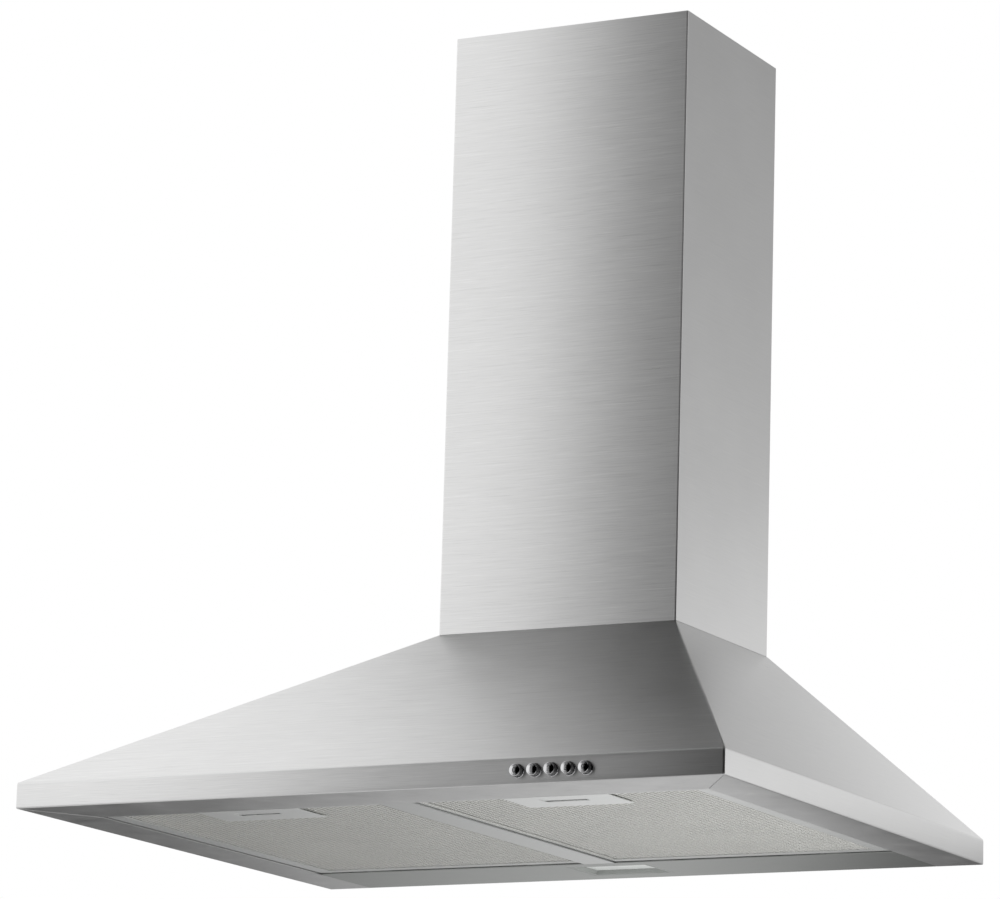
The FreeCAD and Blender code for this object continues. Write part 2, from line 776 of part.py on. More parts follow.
def make_switch():
    """The five-way switch body with a square bore for each stem, on its bracket."""
    body = new_body("switch_body", place_x="button_centre", place_y="-switch_front")
    block = new_sketch(body, "XY_Plane", "switch_floor")
    rectangle(block, "-switch_half", "0", "switch_half", "switch_depth")
    pad(body, block, "switch_height")
    bores = new_sketch(body, "XZ_Plane")
    half = "(stem_side / 2 + stem_play)"
    for x in button_places():
        rectangle(bores, f"{x} - button_centre - {half}", f"button_height - {half}",
                  f"{x} - button_centre + {half}", f"button_height + {half}")
    pocket(body, bores, "switch_depth - 2 * sheet_wall")
    keep("switch_body", body)

    bracket = new_body("switch_bracket", place_x="button_centre", place_y="-switch_front")
    base = new_sketch(bracket, "XY_Plane", "sheet_wall")
    reach = "(switch_half + switch_ear)"
    rectangle(base, f"-{reach}", "0", reach, "switch_depth + switch_shelf")
    for side in (-1, 1):
        circle(base, f"{side} * (switch_half + switch_ear / 2)", "switch_depth / 2", "screw_hole")
    pad(bracket, base, "switch_floor - sheet_wall")
    keep("switch_bracket", bracket)

    screws = [
        screw(f"button_centre + {side} * (switch_half + switch_ear / 2)",
              "switch_depth / 2 - switch_front", "switch_floor", "switch_floor - sheet_wall")
        for side in (-1, 1)
    ]
    keep("switch_screws", group(screws))


# --- lamp ---


def make_lamp():
    """A recessed rectangular lamp: a bezel through the panel, a lens, a diode board and a cover."""
    def outline(sketch, grow):
        """A rectangle round the lamp's middle, larger than its hole by grow on each side."""
        return rectangle(sketch, f"-lamp_half - ({grow})", f"-lamp_far - ({grow})",
                         f"lamp_half + ({grow})", f"-lamp_near + ({grow})")

    bezel = new_body("lamp_bezel")
    sleeve = new_sketch(bezel, "XY_Plane")
    outline(sleeve, "-seam_gap")
    outline(sleeve, "-lamp_wall - seam_gap")
    pad(bezel, sleeve, "sheet_wall + lamp_recess")
    flange = new_sketch(bezel, "XY_Plane", "sheet_wall")
    outline(flange, "lamp_flange")
    outline(flange, "-lamp_wall")
    pad(bezel, flange, "sheet_wall")
    keep("lamp_bezel", bezel)

    lens = new_body("lamp_lens")
    pane = new_sketch(lens, "XY_Plane", "sheet_wall + lamp_recess")
    outline(pane, "-lamp_wall / 2")
    pad(lens, pane, "lens_thick")
    keep("lamp_lens", lens)

    shell = new_body("lamp_cover")
    roof = new_sketch(shell, "XY_Plane", "lamp_ceiling - sheet_wall")
    outline(roof, "lamp_flange - sheet_wall")
    pad(shell, roof, "sheet_wall")
    sides = new_sketch(shell, "XY_Plane", "2 * sheet_wall")
    outline(sides, "lamp_flange - sheet_wall")
    outline(sides, "lamp_flange - 2 * sheet_wall")
    pad(shell, sides, "lamp_ceiling - 2 * sheet_wall")
    keep("lamp_cover", shell)

    board = new_body("lamp_board")
    plate_top = "(lamp_ceiling - sheet_wall)"
    plate = new_sketch(board, "XY_Plane", f"{plate_top} - lens_thick")
    outline(plate, "-lamp_wall")
    pad(board, plate, "lens_thick")
    diodes = new_sketch(board, "XY_Plane", f"{plate_top} - 2 * lens_thick")
    columns, rows = driving["diode_columns"], driving["diode_rows"]
    for column in range(columns):
        for row in range(rows):
            x = f"lamp_width * {(column + 0.5) / columns - 0.5}"
            y = f"lamp_depth * {(row + 0.5) / rows - 0.5} - lamp_from_wall"
            rectangle(diodes, f"{x} - lens_thick", f"{y} - lens_thick",
                      f"{x} + lens_thick", f"{y} + lens_thick")
    pad(board, diodes, "lens_thick")
    keep("lamp_board", board)


# --- blower; its shaft runs along X ---


def spiral(half_from, half_length, grow):
    """The scroll's solid: four quarter discs round the corners of a small square, and the outlet."""
    corners = ((-1, 1, 180), (-1, -1, 270), (1, -1, 0), (1, 1, 90))
    pieces = []
    for number, (y, z, angle) in enumerate(corners):
        turn = FreeCAD.Rotation(V(1, 0, 0), angle).multiply(along_x)
        pieces.append(cylinder(
            half_from, f"-fan_from_wall + {y} * spiral_offset", f"fan_rise + {z} * spiral_offset",
            f"scroll_radius - {number} * scroll_step + ({grow})", half_length, turn, 90))
    half_to = f"({half_from}) + ({half_length})"
    pieces.append(box(half_from, half_to, "-fan_from_wall - spiral_offset", "-fan_from_wall + spiral_offset",
                      "fan_rise - spiral_offset", "fan_rise + spiral_offset"))
    pieces.append(box(half_from, half_to, f"-outlet_front - ({grow})", f"-outlet_rear + ({grow})",
                      "outlet_foot", "canopy_top"))
    return pieces


def make_scroll_half(label, side):
    """One half of the blower's volute, with its inlet and its half of the outlet flange."""
    start = "-scroll_side" if side < 0 else "0"
    outer = spiral(start, "scroll_side", "scroll_wall")
    flange_start = "-flange_half" if side < 0 else "0"
    outer.append(box(flange_start, f"({flange_start}) + flange_half", "-flange_front", "-flange_rear",
                     "canopy_top - deck_sheet", "canopy_top"))
    hollow_start = "-scroll_half" if side < 0 else "-scroll_wall"
    hollow = spiral(hollow_start, "scroll_half + scroll_wall", "0")
    inlet_start = "-2 * scroll_side" if side < 0 else "0"
    hollow.append(cylinder(inlet_start, "-fan_from_wall", "fan_rise", "inlet_radius",
                           "2 * scroll_side", along_x))
    for row in ("screw_front", "screw_rear"):
        hollow.append(cylinder(f"{side} * screw_column", f"-{row}", "canopy_top - 2 * deck_sheet",
                               "screw_hole", "4 * deck_sheet"))
    keep(label, cut(fuse(*outer), *hollow))


def make_fan_wheel():
    """A double-width wheel: a middle disc, a hub, forward-leaning blades and two end rings."""
    body = new_body("fan_wheel", along_x, place_y="-fan_from_wall", place_z="fan_rise")
    disc = new_sketch(body, "XY_Plane", "-blade_thick / 2")
    circle(disc, "0", "0", "wheel_radius")
    circle(disc, "0", "0", "shaft_bore")
    pad(body, disc, "blade_thick")
    hub = new_sketch(body, "XY_Plane", "-hub_inner")
    circle(hub, "0", "0", "hub_radius")
    circle(hub, "0", "0", "shaft_bore")
    pad(body, hub, "hub_length")
    blade = new_sketch(body, "XY_Plane", "-wheel_width / 2")
    tip = "(wheel_radius - blade_thick)"
    belly = "(blade_root + blade_depth / 2)"
    polygon(blade, [
        ("blade_root", "-blade_thick"), (belly, "0"), (tip, "2 * blade_thick"),
        (tip, "3 * blade_thick"), (belly, "blade_thick"), ("blade_root", "0"),
    ])
    polar(body, pad(body, blade, "wheel_width"), "blade_count")
    for start in ("-wheel_width / 2", "wheel_width / 2 - 2 * blade_thick"):
        ring = new_sketch(body, "XY_Plane", start)
        circle(ring, "0", "0", "wheel_radius")
        circle(ring, "0", "0", "blade_root - blade_thick")
        pad(body, ring, "2 * blade_thick")
    keep("fan_wheel", body)


def make_motor():
    """The motor inside the wheel, its bearings, its shaft, and the arms that carry it."""
    axis = {"place_y": "-fan_from_wall", "place_z": "fan_rise"}
    body = new_body("motor", along_x, **axis)
    section = new_sketch(body, "XZ_Plane")
    seat = "(bearing_radius + shaft_play)"
    front = "(motor_start + bearing_width)"
    rear = "(motor_end - bearing_width)"
    polygon(section, [
        ("shaft_radius + shaft_clear", front), (seat, front),
        (seat, "motor_start"), ("motor_radius", "motor_start"),
        ("motor_radius", "motor_end"), (seat, "motor_end"),
        (seat, rear), ("shaft_radius + shaft_clear", rear),
    ])
    revolve(body, section)
    keep("motor", body)

    bearings = []
    for start in ("motor_start", "motor_end - bearing_width"):
        race = cylinder(start, "-fan_from_wall", "fan_rise", "bearing_radius", "bearing_width", along_x)
        bore = cylinder(start, "-fan_from_wall", "fan_rise", "shaft_bore", "bearing_width", along_x)
        bearings.append(cut(race, bore))
    keep("shaft_bearings", group(bearings))

    keep("motor_shaft", cylinder("-hub_inner - shaft_tail", "-fan_from_wall", "fan_rise", "shaft_radius",
                                 "motor_end + hub_inner + shaft_tail + 2 * arm_sheet", along_x))

    bracket = new_body("motor_bracket", along_x, **axis)
    hub = new_sketch(bracket, "XY_Plane", "motor_end")
    circle(hub, "0", "0", "arm_hub")
    circle(hub, "0", "0", "shaft_radius + 2 * shaft_clear")
    pad(bracket, hub, "arm_sheet")
    arm = new_sketch(bracket, "XY_Plane", "motor_end")
    rectangle(arm, "arm_hub - arm_width / 2", "-arm_width / 2",
              "bush_place + bush_radius + bush_margin", "arm_width / 2")
    polar(bracket, pad(bracket, arm, "arm_sheet"), "3")
    keep("motor_bracket", bracket)

    bushes = []
    for angle in (0, 120, 240):
        turn = FreeCAD.Rotation(V(1, 0, 0), angle)
        place = turn.multVec(V(0, 1, 0))
        y = f"-fan_from_wall + {place.y:.6f} * bush_place"
        z = f"fan_rise + {place.z:.6f} * bush_place"
        bushes.append(cylinder("scroll_side", y, z, "bush_radius - bush_margin", "bush_height", along_x))
    keep("motor_bushes", group(bushes))


def make_inlet_guard():
    """Three wire rings and a cross over the open inlet."""
    plane = "-(scroll_side + guard_wire)"
    wires = []
    for reach in ("inlet_radius + guard_lap", "guard_middle", "guard_inner"):
        ring = doc.addObject("Part::Torus", "Ring")
        ring.Placement = FreeCAD.Placement(V(), along_x)
        bind(ring, Radius1=reach, Radius2="guard_wire")
        bind(ring, place_x=plane, place_y="-fan_from_wall", place_z="fan_rise")
        wires.append(ring)
    reach = "(inlet_radius + guard_lap)"
    wires.append(cylinder(plane, "-fan_from_wall", f"fan_rise - {reach}", "guard_wire", f"2 * {reach}"))
    wires.append(cylinder(plane, f"-fan_from_wall + {reach}", "fan_rise", "guard_wire",
                          f"2 * {reach}", along_y))
    keep("inlet_guard", fuse(*wires))


# --- deck, collar and flaps ---


def make_deck():
    """The plate on the canopy's mouth that carries the blower below and the collar above."""
    body = new_body("deck_plate")
    sketch = new_sketch(body, "XY_Plane", "canopy_top")
    rectangle(sketch, "-deck_half", "-deck_front", "deck_half", "-deck_back")
    rectangle(sketch, "-scroll_half", "-outlet_front", "scroll_half", "-outlet_rear")
    for side in (-1, 1):
        for row in ("screw_front", "screw_rear"):
            circle(sketch, f"{side} * screw_column", f"-{row}", "screw_hole")
        for row in ("deck_screw_front", "deck_screw_back"):
            circle(sketch, f"{side} * deck_screw_column", f"-{row}", "screw_hole")
    pad(body, sketch, "deck_sheet")
    keep("deck_plate", body)

    keep("blower_screws", group(
        screw(f"{side} * screw_column", f"-{row}", "collar_foot", "3 * deck_sheet + screw_tail")
        for side in (-1, 1)
        for row in ("screw_front", "screw_rear")))
    keep("deck_screws", group(
        screw(f"{side} * deck_screw_column", f"-{row}", "deck_top", "deck_sheet + sheet_wall + screw_tail")
        for side in (-1, 1)
        for row in ("deck_screw_front", "deck_screw_back")))


def make_collar():
    """The round spigot that the duct is pushed over, with a flange, a ledge and the pin's blind eyes."""
    body = new_body("outlet_collar", place_y="-collar_from_wall")
    flange = new_sketch(body, "XY_Plane", "deck_top")
    front = "(screw_front - collar_from_wall + outlet_flange / 2)"
    rear = "(collar_from_wall - screw_rear + outlet_flange / 2)"
    rectangle(flange, "-collar_flange", f"-{front}", "collar_flange", rear)
    circle(flange, "0", "0", "collar_bore")
    for side in (-1, 1):
        circle(flange, f"{side} * screw_column", "collar_from_wall - screw_front", "screw_hole")
        circle(flange, f"{side} * screw_column", "collar_from_wall - screw_rear", "screw_hole")
    pad(body, flange, "deck_sheet")
    tube = new_sketch(body, "XY_Plane", "collar_foot")
    circle(tube, "0", "0", "collar_radius")
    circle(tube, "0", "0", "collar_bore")
    pad(body, tube, "collar_height")
    ledge = new_sketch(body, "XY_Plane", "ledge_top - collar_wall")
    circle(ledge, "0", "0", "collar_bore + collar_wall / 2")
    circle(ledge, "0", "0", "collar_bore - ledge_width")
    pad(body, ledge, "collar_wall")
    eyes = new_sketch(body, "YZ_Plane", "pin_half + shaft_play")
    circle(eyes, "0", "pin_height", "pin_radius + shaft_play")
    pocket(body, eyes, "2 * (pin_half + shaft_play)")
    keep("outlet_collar", body)

    keep("flap_pin", cylinder("-pin_half", "-collar_from_wall", "pin_height",
                              "pin_radius", "2 * pin_half", along_x))


def make_flap(label, side, first):
    """Half of the non-return valve: a half disc and two knuckles round the pin."""
    disc = cylinder("0", "-collar_from_wall", "flap_floor", "flap_radius", "flap_thick")
    edges = sorted((f"{side} * flap_edge", f"{side} * 2 * collar_radius"), key=worth)
    half = box("-2 * collar_radius", "2 * collar_radius", f"{edges[0]} - collar_from_wall",
               f"{edges[1]} - collar_from_wall", "flap_floor - flap_thick", "pin_height")
    pieces = [common(disc, half)]
    for number in (first, first + 2):
        start = f"knuckle_margin - flap_radius + {number} * knuckle_pitch + seam_gap"
        length = "knuckle_pitch - 2 * seam_gap"
        pieces.append(cylinder(start, "-collar_from_wall", "pin_height", "knuckle_radius", length, along_x))
        web = sorted((f"{side} * web_half", f"{side} * (flap_edge + web_lap)"), key=worth)
        pieces.append(box(start, f"{start} + {length}", f"{web[0]} - collar_from_wall",
                          f"{web[1]} - collar_from_wall", "flap_floor", "pin_height"))
    bore = cylinder("-collar_radius", "-collar_from_wall", "pin_height", "pin_radius + shaft_play",
                    "2 * collar_radius", along_x)
    keep(label, cut(fuse(*pieces), bore))


# --- electrical pieces on the deck ---


def make_terminal_box():
    """The junction box beside the collar, its lid, and the gland that the mains lead comes in by."""
    body = new_body("terminal_box")
    floor = new_sketch(body, "XY_Plane", "deck_top")
    outline = ("terminal_left", "-terminal_front", "terminal_left + terminal_width", "-terminal_back")
    rectangle(floor, *outline)
    pad(body, floor, "terminal_wall")
    walls = new_sketch(body, "XY_Plane", "deck_top")
    rectangle(walls, *outline)
    rectangle(walls, "terminal_left + terminal_wall", "terminal_wall - terminal_front",
              "terminal_left + terminal_width - terminal_wall", "-terminal_back - terminal_wall")
    pad(body, walls, "terminal_height")
    keep("terminal_box", body)

    middle_y = "-(terminal_front + terminal_back) / 2"
    lid = new_body("terminal_lid")
    top = new_sketch(lid, "XY_Plane", "terminal_lid")
    rectangle(top, *outline)
    circle(top, "terminal_mid", middle_y, "gland_radius - terminal_wall + shaft_play")
    pad(lid, top, "terminal_wall")
    keep("terminal_lid", lid)

    gland = new_body("cable_gland", place_x="terminal_mid", place_y=middle_y, place_z="terminal_lid")
    section = new_sketch(gland, "XZ_Plane")
    neck = "(gland_radius - terminal_wall)"
    crown = "(gland_length - 2 * terminal_wall)"
    polygon(section, [
        ("gland_bore", "-2 * terminal_wall"), (neck, "-2 * terminal_wall"), (neck, "terminal_wall"),
        ("gland_radius", "terminal_wall"), ("gland_radius", f"{crown} - terminal_wall"),
        (f"{neck}", crown), ("gland_bore", crown),
    ])
    revolve(gland, section)
    keep("cable_gland", gland)


def make_capacitor():
    """The motor's run capacitor, upright in a spring clip."""
    place = ("capacitor_column", "-collar_from_wall")
    keep("capacitor", cylinder(*place, "deck_top + clip_wall", "capacitor_radius", "capacitor_height"))
    outer = cylinder(*place, "deck_top", "capacitor_radius + clip_wall", "clip_height")
    inner = cylinder(*place, "deck_top + clip_wall", "capacitor_radius + shaft_play", "clip_height")
    mouth = box("capacitor_column - clip_mouth / 2", "capacitor_column + clip_mouth / 2", "-collar_from_wall",
                "2 * capacitor_radius - collar_from_wall", "deck_top + clip_wall",
                "deck_top + 2 * clip_height")
    keep("capacitor_clip", cut(outer, inner, mouth))


# --- chimney ---


def make_duct_cover(label, half, front, back, foot, length):
    """A folded channel, open at the wall, whose rear edges are turned in."""
    body = new_body(label)
    sketch = new_sketch(body, "XY_Plane", foot)
    lip = f"({half} - chimney_return + sheet_wall)"
    inner = f"({half} - sheet_wall)"
    polygon(sketch, [
        (lip, f"-{back}"), (half, f"-{back}"), (half, f"-{front}"),
        (f"-{half}", f"-{front}"), (f"-{half}", f"-{back}"), (f"-{lip}", f"-{back}"),
        (f"-{lip}", f"-{back} - sheet_wall"), (f"-{inner}", f"-{back} - sheet_wall"),
        (f"-{inner}", f"-{front} + sheet_wall"), (inner, f"-{front} + sheet_wall"),
        (inner, f"-{back} - sheet_wall"), (lip, f"-{back} - sheet_wall"),
    ])
    pad(body, sketch, length)
    keep(label, body)


def make_chimney_bracket():
    """The wall bracket that stands between the turned-in edges of the lower cover."""
    body = new_body("chimney_bracket")
    sketch = new_sketch(body, "XY_Plane", "bracket_foot")
    wide = "(chimney_half - chimney_return + sheet_wall - seam_gap)"
    ear = "(chimney_half - chimney_return - 3 * sheet_wall)"
    tip = "(sheet_wall + bracket_reach)"
    polygon(sketch, [
        (f"-{wide}", "0"), (wide, "0"), (wide, "-sheet_wall"), (ear, "-sheet_wall"), (ear, f"-{tip}"),
        (f"{ear} - sheet_wall", f"-{tip}"), (f"{ear} - sheet_wall", "-sheet_wall"),
        (f"-{ear} + sheet_wall", "-sheet_wall"), (f"-{ear} + sheet_wall", f"-{tip}"), (f"-{ear}", f"-{tip}"),
        (f"-{ear}", "-sheet_wall"), (f"-{wide}", "-sheet_wall"),
    ])
    pad(body, sketch, "bracket_height")
    holes = new_sketch(body, "XZ_Plane", "2 * sheet_wall")
    for side in (-1, 1):
        circle(holes, f"{side} * bracket_hole_spacing / 2",
               "bracket_foot + bracket_height / 2", "bracket_hole_radius")
    pocket(body, holes, "3 * sheet_wall")
    keep("chimney_bracket", body)


make_canopy_shell()
make_back_panel()
make_lamp_panel()
make_centre_bar()
make_filter("filter_left", -1)
make_filter("filter_right", 1)
button_names = ("button_off", "button_speed_1", "button_speed_2", "button_speed_3", "button_light")
for button_name, button_x in zip(button_names, button_places()):
    make_button(button_name, button_x)
make_bezels()
make_switch()
make_lamp()
make_scroll_half("scroll_left", -1)
make_scroll_half("scroll_right", 1)
make_fan_wheel()
make_motor()
make_inlet_guard()
make_deck()
make_collar()
make_flap("flap_front", -1, 0)
make_flap("flap_rear", 1, 1)
make_terminal_box()
make_capacitor()
make_duct_cover("lower_chimney", "chimney_half", "chimney_depth", "0", "canopy_top", "chimney_height")
make_duct_cover("upper_chimney", "sleeve_half", "sleeve_front", "sleeve_back", "canopy_top + seam_gap",
                "sleeve_length")
make_chimney_bracket()
doc.recompute()

faults = [o.Name for o in doc.Objects if "Invalid" in o.State or "Error" in o.State]
if faults:
    raise RuntimeError("not rebuilt: " + ", ".join(faults))
for label, thing in sub_parts.items():
    if thing.Shape.isNull() or not thing.Shape.isValid() or not thing.Shape.Solids:
        raise RuntimeError("no sound solid: " + label)

os.makedirs("parts", exist_ok=True)
whole = FreeCAD.BoundBox()
for label, thing in sub_parts.items():
    thing.Shape.exportStep(f"parts/{label}.step")
    whole.add(thing.Shape.BoundBox)
    print(f"{label:28s} {len(thing.Shape.Solids):3d} solids {thing.Shape.Volume:12.1f} mm3")
print(f"{len(sub_parts)} sub-parts, {whole.XLength:.1f} x {whole.YLength:.1f} x {whole.ZLength:.1f} mm")
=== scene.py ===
import json
import math

import bpy
import numpy as np
from mathutils import Matrix, Vector


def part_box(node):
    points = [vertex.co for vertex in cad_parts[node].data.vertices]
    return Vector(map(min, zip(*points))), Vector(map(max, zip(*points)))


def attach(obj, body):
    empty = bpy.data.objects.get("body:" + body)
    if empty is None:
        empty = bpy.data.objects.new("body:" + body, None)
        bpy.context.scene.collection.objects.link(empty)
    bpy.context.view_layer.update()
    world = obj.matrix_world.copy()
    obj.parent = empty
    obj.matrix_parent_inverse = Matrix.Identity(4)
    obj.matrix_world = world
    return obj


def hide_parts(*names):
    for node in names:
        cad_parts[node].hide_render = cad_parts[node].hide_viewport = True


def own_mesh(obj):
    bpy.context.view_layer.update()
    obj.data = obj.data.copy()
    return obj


# A pyramid range hood hung on a wall, seen from below. Metres; the wall is Y = 0 and the front faces -Y.
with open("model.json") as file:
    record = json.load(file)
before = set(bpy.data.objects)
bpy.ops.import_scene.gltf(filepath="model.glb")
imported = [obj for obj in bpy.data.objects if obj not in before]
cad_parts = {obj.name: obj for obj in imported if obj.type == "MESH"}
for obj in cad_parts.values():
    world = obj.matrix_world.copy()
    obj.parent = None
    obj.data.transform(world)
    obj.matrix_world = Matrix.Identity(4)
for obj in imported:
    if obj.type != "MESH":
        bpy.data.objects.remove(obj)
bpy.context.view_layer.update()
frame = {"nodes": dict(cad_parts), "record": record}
nodes = frame["nodes"]
mm = 0.001


class Link:
    # a shader socket on which sums can be written as plain expressions
    def __init__(self, surface, socket):
        self.surface, self.socket = surface, socket

    def sum(self, operation, first, second=0.0):
        return self.surface.node("ShaderNodeMath", {"operation": operation}, {0: first, 1: second})

    def __add__(self, other): return self.sum("ADD", self, other)
    def __radd__(self, other): return self.sum("ADD", other, self)
    def __sub__(self, other): return self.sum("SUBTRACT", self, other)
    def __rsub__(self, other): return self.sum("SUBTRACT", other, self)
    def __mul__(self, other): return self.sum("MULTIPLY", self, other)
    def __truediv__(self, other): return self.sum("DIVIDE", self, other)
    def __gt__(self, other): return self.sum("GREATER_THAN", self, other)
    def __or__(self, other): return self.sum("MAXIMUM", self, other)


class NodeTree:
    # the nodes of a material or of the world
    def __init__(self, tree):
        self.tree = tree

    def node(self, kind, settings, sockets, output=0):
        made = self.tree.nodes.new(kind)
        for name, value in settings.items():
            if name == "stops":
                ramp = made.color_ramp
                while len(ramp.elements) < len(value):
                    ramp.elements.new(0.5)
                for element, (place, shade) in zip(ramp.elements, value):
                    element.position, element.color = place, (shade, shade, shade, 1)
            else:
                setattr(made, name, value)
        for name, value in sockets.items():
            self.put(made.inputs[name], value)
        return None if output is None else Link(self, made.outputs[output])

    def put(self, socket, value):
        if isinstance(value, Link):
            self.tree.links.new(value.socket, socket)
        else:
            socket.default_value = value


class Surface(NodeTree):
    # a material: its Principled shader takes constants here, and links later
    def __init__(self, name, **constants):
        self.material = bpy.data.materials.new(name)
        self.material.use_nodes = True
        super().__init__(self.material.node_tree)
        self.shader = self.tree.nodes["Principled BSDF"]
        for socket, value in constants.items():
            self.shader.inputs[socket.replace("_", " ")].default_value = value

    def place(self, scale=(1, 1, 1)):
        # the point on the piece, in metres, stretched by scale
        here = self.node("ShaderNodeTexCoord", {}, {}, "Object")
        return self.node("ShaderNodeMapping", {}, {"Vector": here, "Scale": scale})

    def noise(self, scale, detail=2.0, rough=0.5, size=1.0):
        return self.node("ShaderNodeTexNoise", {}, {"Vector": self.place(scale), "Scale": size,
                                                    "Detail": detail, "Roughness": rough})

    def tint(self, factor, dark, light):
        # a colour between two, by a factor from 0 to 1
        return self.node("ShaderNodeMix", {"data_type": "RGBA", "clamp_factor": True},
                         {0: factor, 6: (*dark, 1), 7: (*light, 1)}, 2)

    def bump(self, height, strength, distance):
        sockets = {"Height": height, "Strength": strength, "Distance": distance}
        return self.node("ShaderNodeBump", {}, sockets)

    def finish(self, colour, roughness=None, normal=None):
        for socket, value in (("Base Color", colour), ("Roughness", roughness), ("Normal", normal)):
            if value is not None:
                self.put(self.shader.inputs[socket], value)
        return self.material


def scaled(shade, dark, light):
    # a colour darkened by one factor, and lightened by another as far as white
    return [s * dark for s in shade], [min(1.0, s * light) for s in shade]


# settings of the finishes: noise scales per metre, shares in the tone, how far each noise moves the
# roughness (gloss), what darkens and lightens the shade, and the bump's strength and depth (relief)
brushing = {
    "fine": 0.85, "coarse": 0.15, "coarseScale": 0.35, "contrast": 3.0, "straight": 0.35, "cubed": 1.6,
    "sideways": 0.7, "cloudScale": (9, 9, 9), "cloud": 0.4, "gloss": 0.14,
    "relief": 0.05, "reliefDepth": 0.1 * mm,
}
satin = {
    "grainSize": 6, "stainScale": (14, 14, 14), "grain": 0.4, "stain": 0.6, "gloss": 0.18,
    "dark": 0.86, "light": 1.10, "reliefDepth": 0.1 * mm,
}
spangle = {
    "cellScale": (120, 120, 120), "blurScale": (30, 30, 30), "rough": 0.38, "cellGloss": 0.14,
    "blurGloss": 0.1, "dark": 0.84, "light": 1.1, "relief": 0.05, "reliefDepth": 0.4 * mm,
}
moulding = {
    "flowScale": (8, 8, 20), "pebbleGloss": 0.12, "flowGloss": 0.08, "dark": 0.8, "light": 1.2,
    "reliefDepth": 0.15 * mm,
}
plating = {
    "hazeScale": (140, 140, 140), "hairScale": (2500, 300, 300), "rough": 0.05, "haze": 0.06,
    "dark": (0.60, 0.60, 0.61), "light": (0.80, 0.80, 0.81), "relief": 0.02, "reliefDepth": 0.05 * mm,
}
opal = {
    "refraction": 1.49, "flowScale": (60, 60, 60), "frostScale": (1500, 1500, 1500), "rough": 0.22,
    "frost": 0.18, "dark": (0.74, 0.76, 0.74), "light": (0.84, 0.86, 0.84),
    "relief": 0.08, "reliefDepth": 0.1 * mm,
}


def brushedSheet(name, grain, shade, spread, rough, wear, lengthwise=0.0, turn=0.25):
    # fine scratches: noise stretched along the grain, its extremes drawn out as separate short streaks by
    # a straight part plus a cubed part, with faint cloudy patches; fainter on faces that look sideways
    b = brushing
    surface = Surface(name, Metallic=1.0, Anisotropic=lengthwise, Anisotropic_Rotation=turn)
    fine = surface.noise(grain, 3.0, 0.65)
    coarse = surface.noise([g * b["coarseScale"] for g in grain], 2.0, 0.5)
    cloud = surface.noise(b["cloudScale"], 3.0, 0.55)
    scratch = fine * b["fine"] + coarse * b["coarse"]
    facing = surface.node("ShaderNodeTexCoord", {}, {}, "Normal")
    sideways = surface.node("ShaderNodeSeparateXYZ", {}, {"Vector": facing}, "X")
    streak = (scratch - 0.5) * b["contrast"]
    streak = streak * b["straight"] + streak * streak * streak * b["cubed"]
    streak = streak * (1 - sideways * sideways * b["sideways"])
    tone = streak + 0.5 + (cloud - 0.5) * b["cloud"]
    roughness = rough + (scratch - 0.5) * b["gloss"] + (cloud - 0.5) * wear
    return surface.finish(surface.tint(tone, *scaled(shade, 1 - spread, 1 + spread)), roughness,
                          surface.bump(scratch, b["relief"], b["reliefDepth"]))


def satinMetal(name, shade, rough, scale=220.0, relief=0.06, metallic=1.0):
    # rolled or plated metal: fine isotropic grain, with broad faint stains in colour and gloss
    surface = Surface(name, Metallic=metallic)
    grain = surface.noise((scale * satin["grainSize"],) * 3, 2.0, 0.6)
    stain = surface.noise(satin["stainScale"], 4.0, 0.6)
    tone = grain * satin["grain"] + stain * satin["stain"]
    roughness = rough + (stain - 0.5) * satin["gloss"]
    return surface.finish(surface.tint(tone, *scaled(shade, satin["dark"], satin["light"])), roughness,
                          surface.bump(grain, relief, satin["reliefDepth"]))


def spangledZinc(name, shade):
    # hot-dip zinc: cells a few millimetres across, each with its own tone and gloss
    z = spangle
    surface = Surface(name, Metallic=1.0)
    place = surface.place(z["cellScale"])
    cells = surface.node("ShaderNodeTexVoronoi", {}, {"Vector": place, "Scale": 1.0}, 1)
    tone = surface.node("ShaderNodeRGBToBW", {}, {"Color": cells})
    blur = surface.noise(z["blurScale"], 3.0)
    roughness = z["rough"] + tone * z["cellGloss"] + (blur - 0.5) * z["blurGloss"]
    return surface.finish(surface.tint(tone, *scaled(shade, z["dark"], z["light"])), roughness,
                          surface.bump(blur, z["relief"], z["reliefDepth"]))


def mouldedPlastic(name, shade, rough, grain=900.0, relief=0.12):
    # spark-eroded plastic: a fine pebble in the bump, a slight flow mark in colour
    m = moulding
    surface = Surface(name)
    pebble = surface.noise((grain,) * 3, 2.0, 0.7)
    flow = surface.noise(m["flowScale"], 3.0, 0.5)
    roughness = rough + (pebble - 0.5) * m["pebbleGloss"] + (flow - 0.5) * m["flowGloss"]
    return surface.finish(surface.tint(flow, *scaled(shade, m["dark"], m["light"])), roughness,
                          surface.bump(pebble, relief, m["reliefDepth"]))


def polishedChrome(name):
    # mirror chrome with hair scratches, and a little haze where fingers press
    p = plating
    surface = Surface(name, Metallic=1.0)
    haze = surface.noise(p["hazeScale"], 3.0, 0.6)
    hair = surface.noise(p["hairScale"], 1.0, 0.5)
    return surface.finish(surface.tint(haze, p["dark"], p["light"]), p["rough"] + haze * p["haze"],
                          surface.bump(hair, p["relief"], p["reliefDepth"]))


def frostedLens(name):
    # opal acrylic: soft, slightly glossy, with faint flow lines
    o = opal
    surface = Surface(name)
    surface.put(surface.shader.inputs["IOR"], o["refraction"])
    flow = surface.noise(o["flowScale"], 3.0)
    frost = surface.noise(o["frostScale"], 1.0)
    return surface.finish(surface.tint(flow, o["dark"], o["light"]), o["rough"] + frost * o["frost"],
                          surface.bump(frost, o["relief"], o["reliefDepth"]))


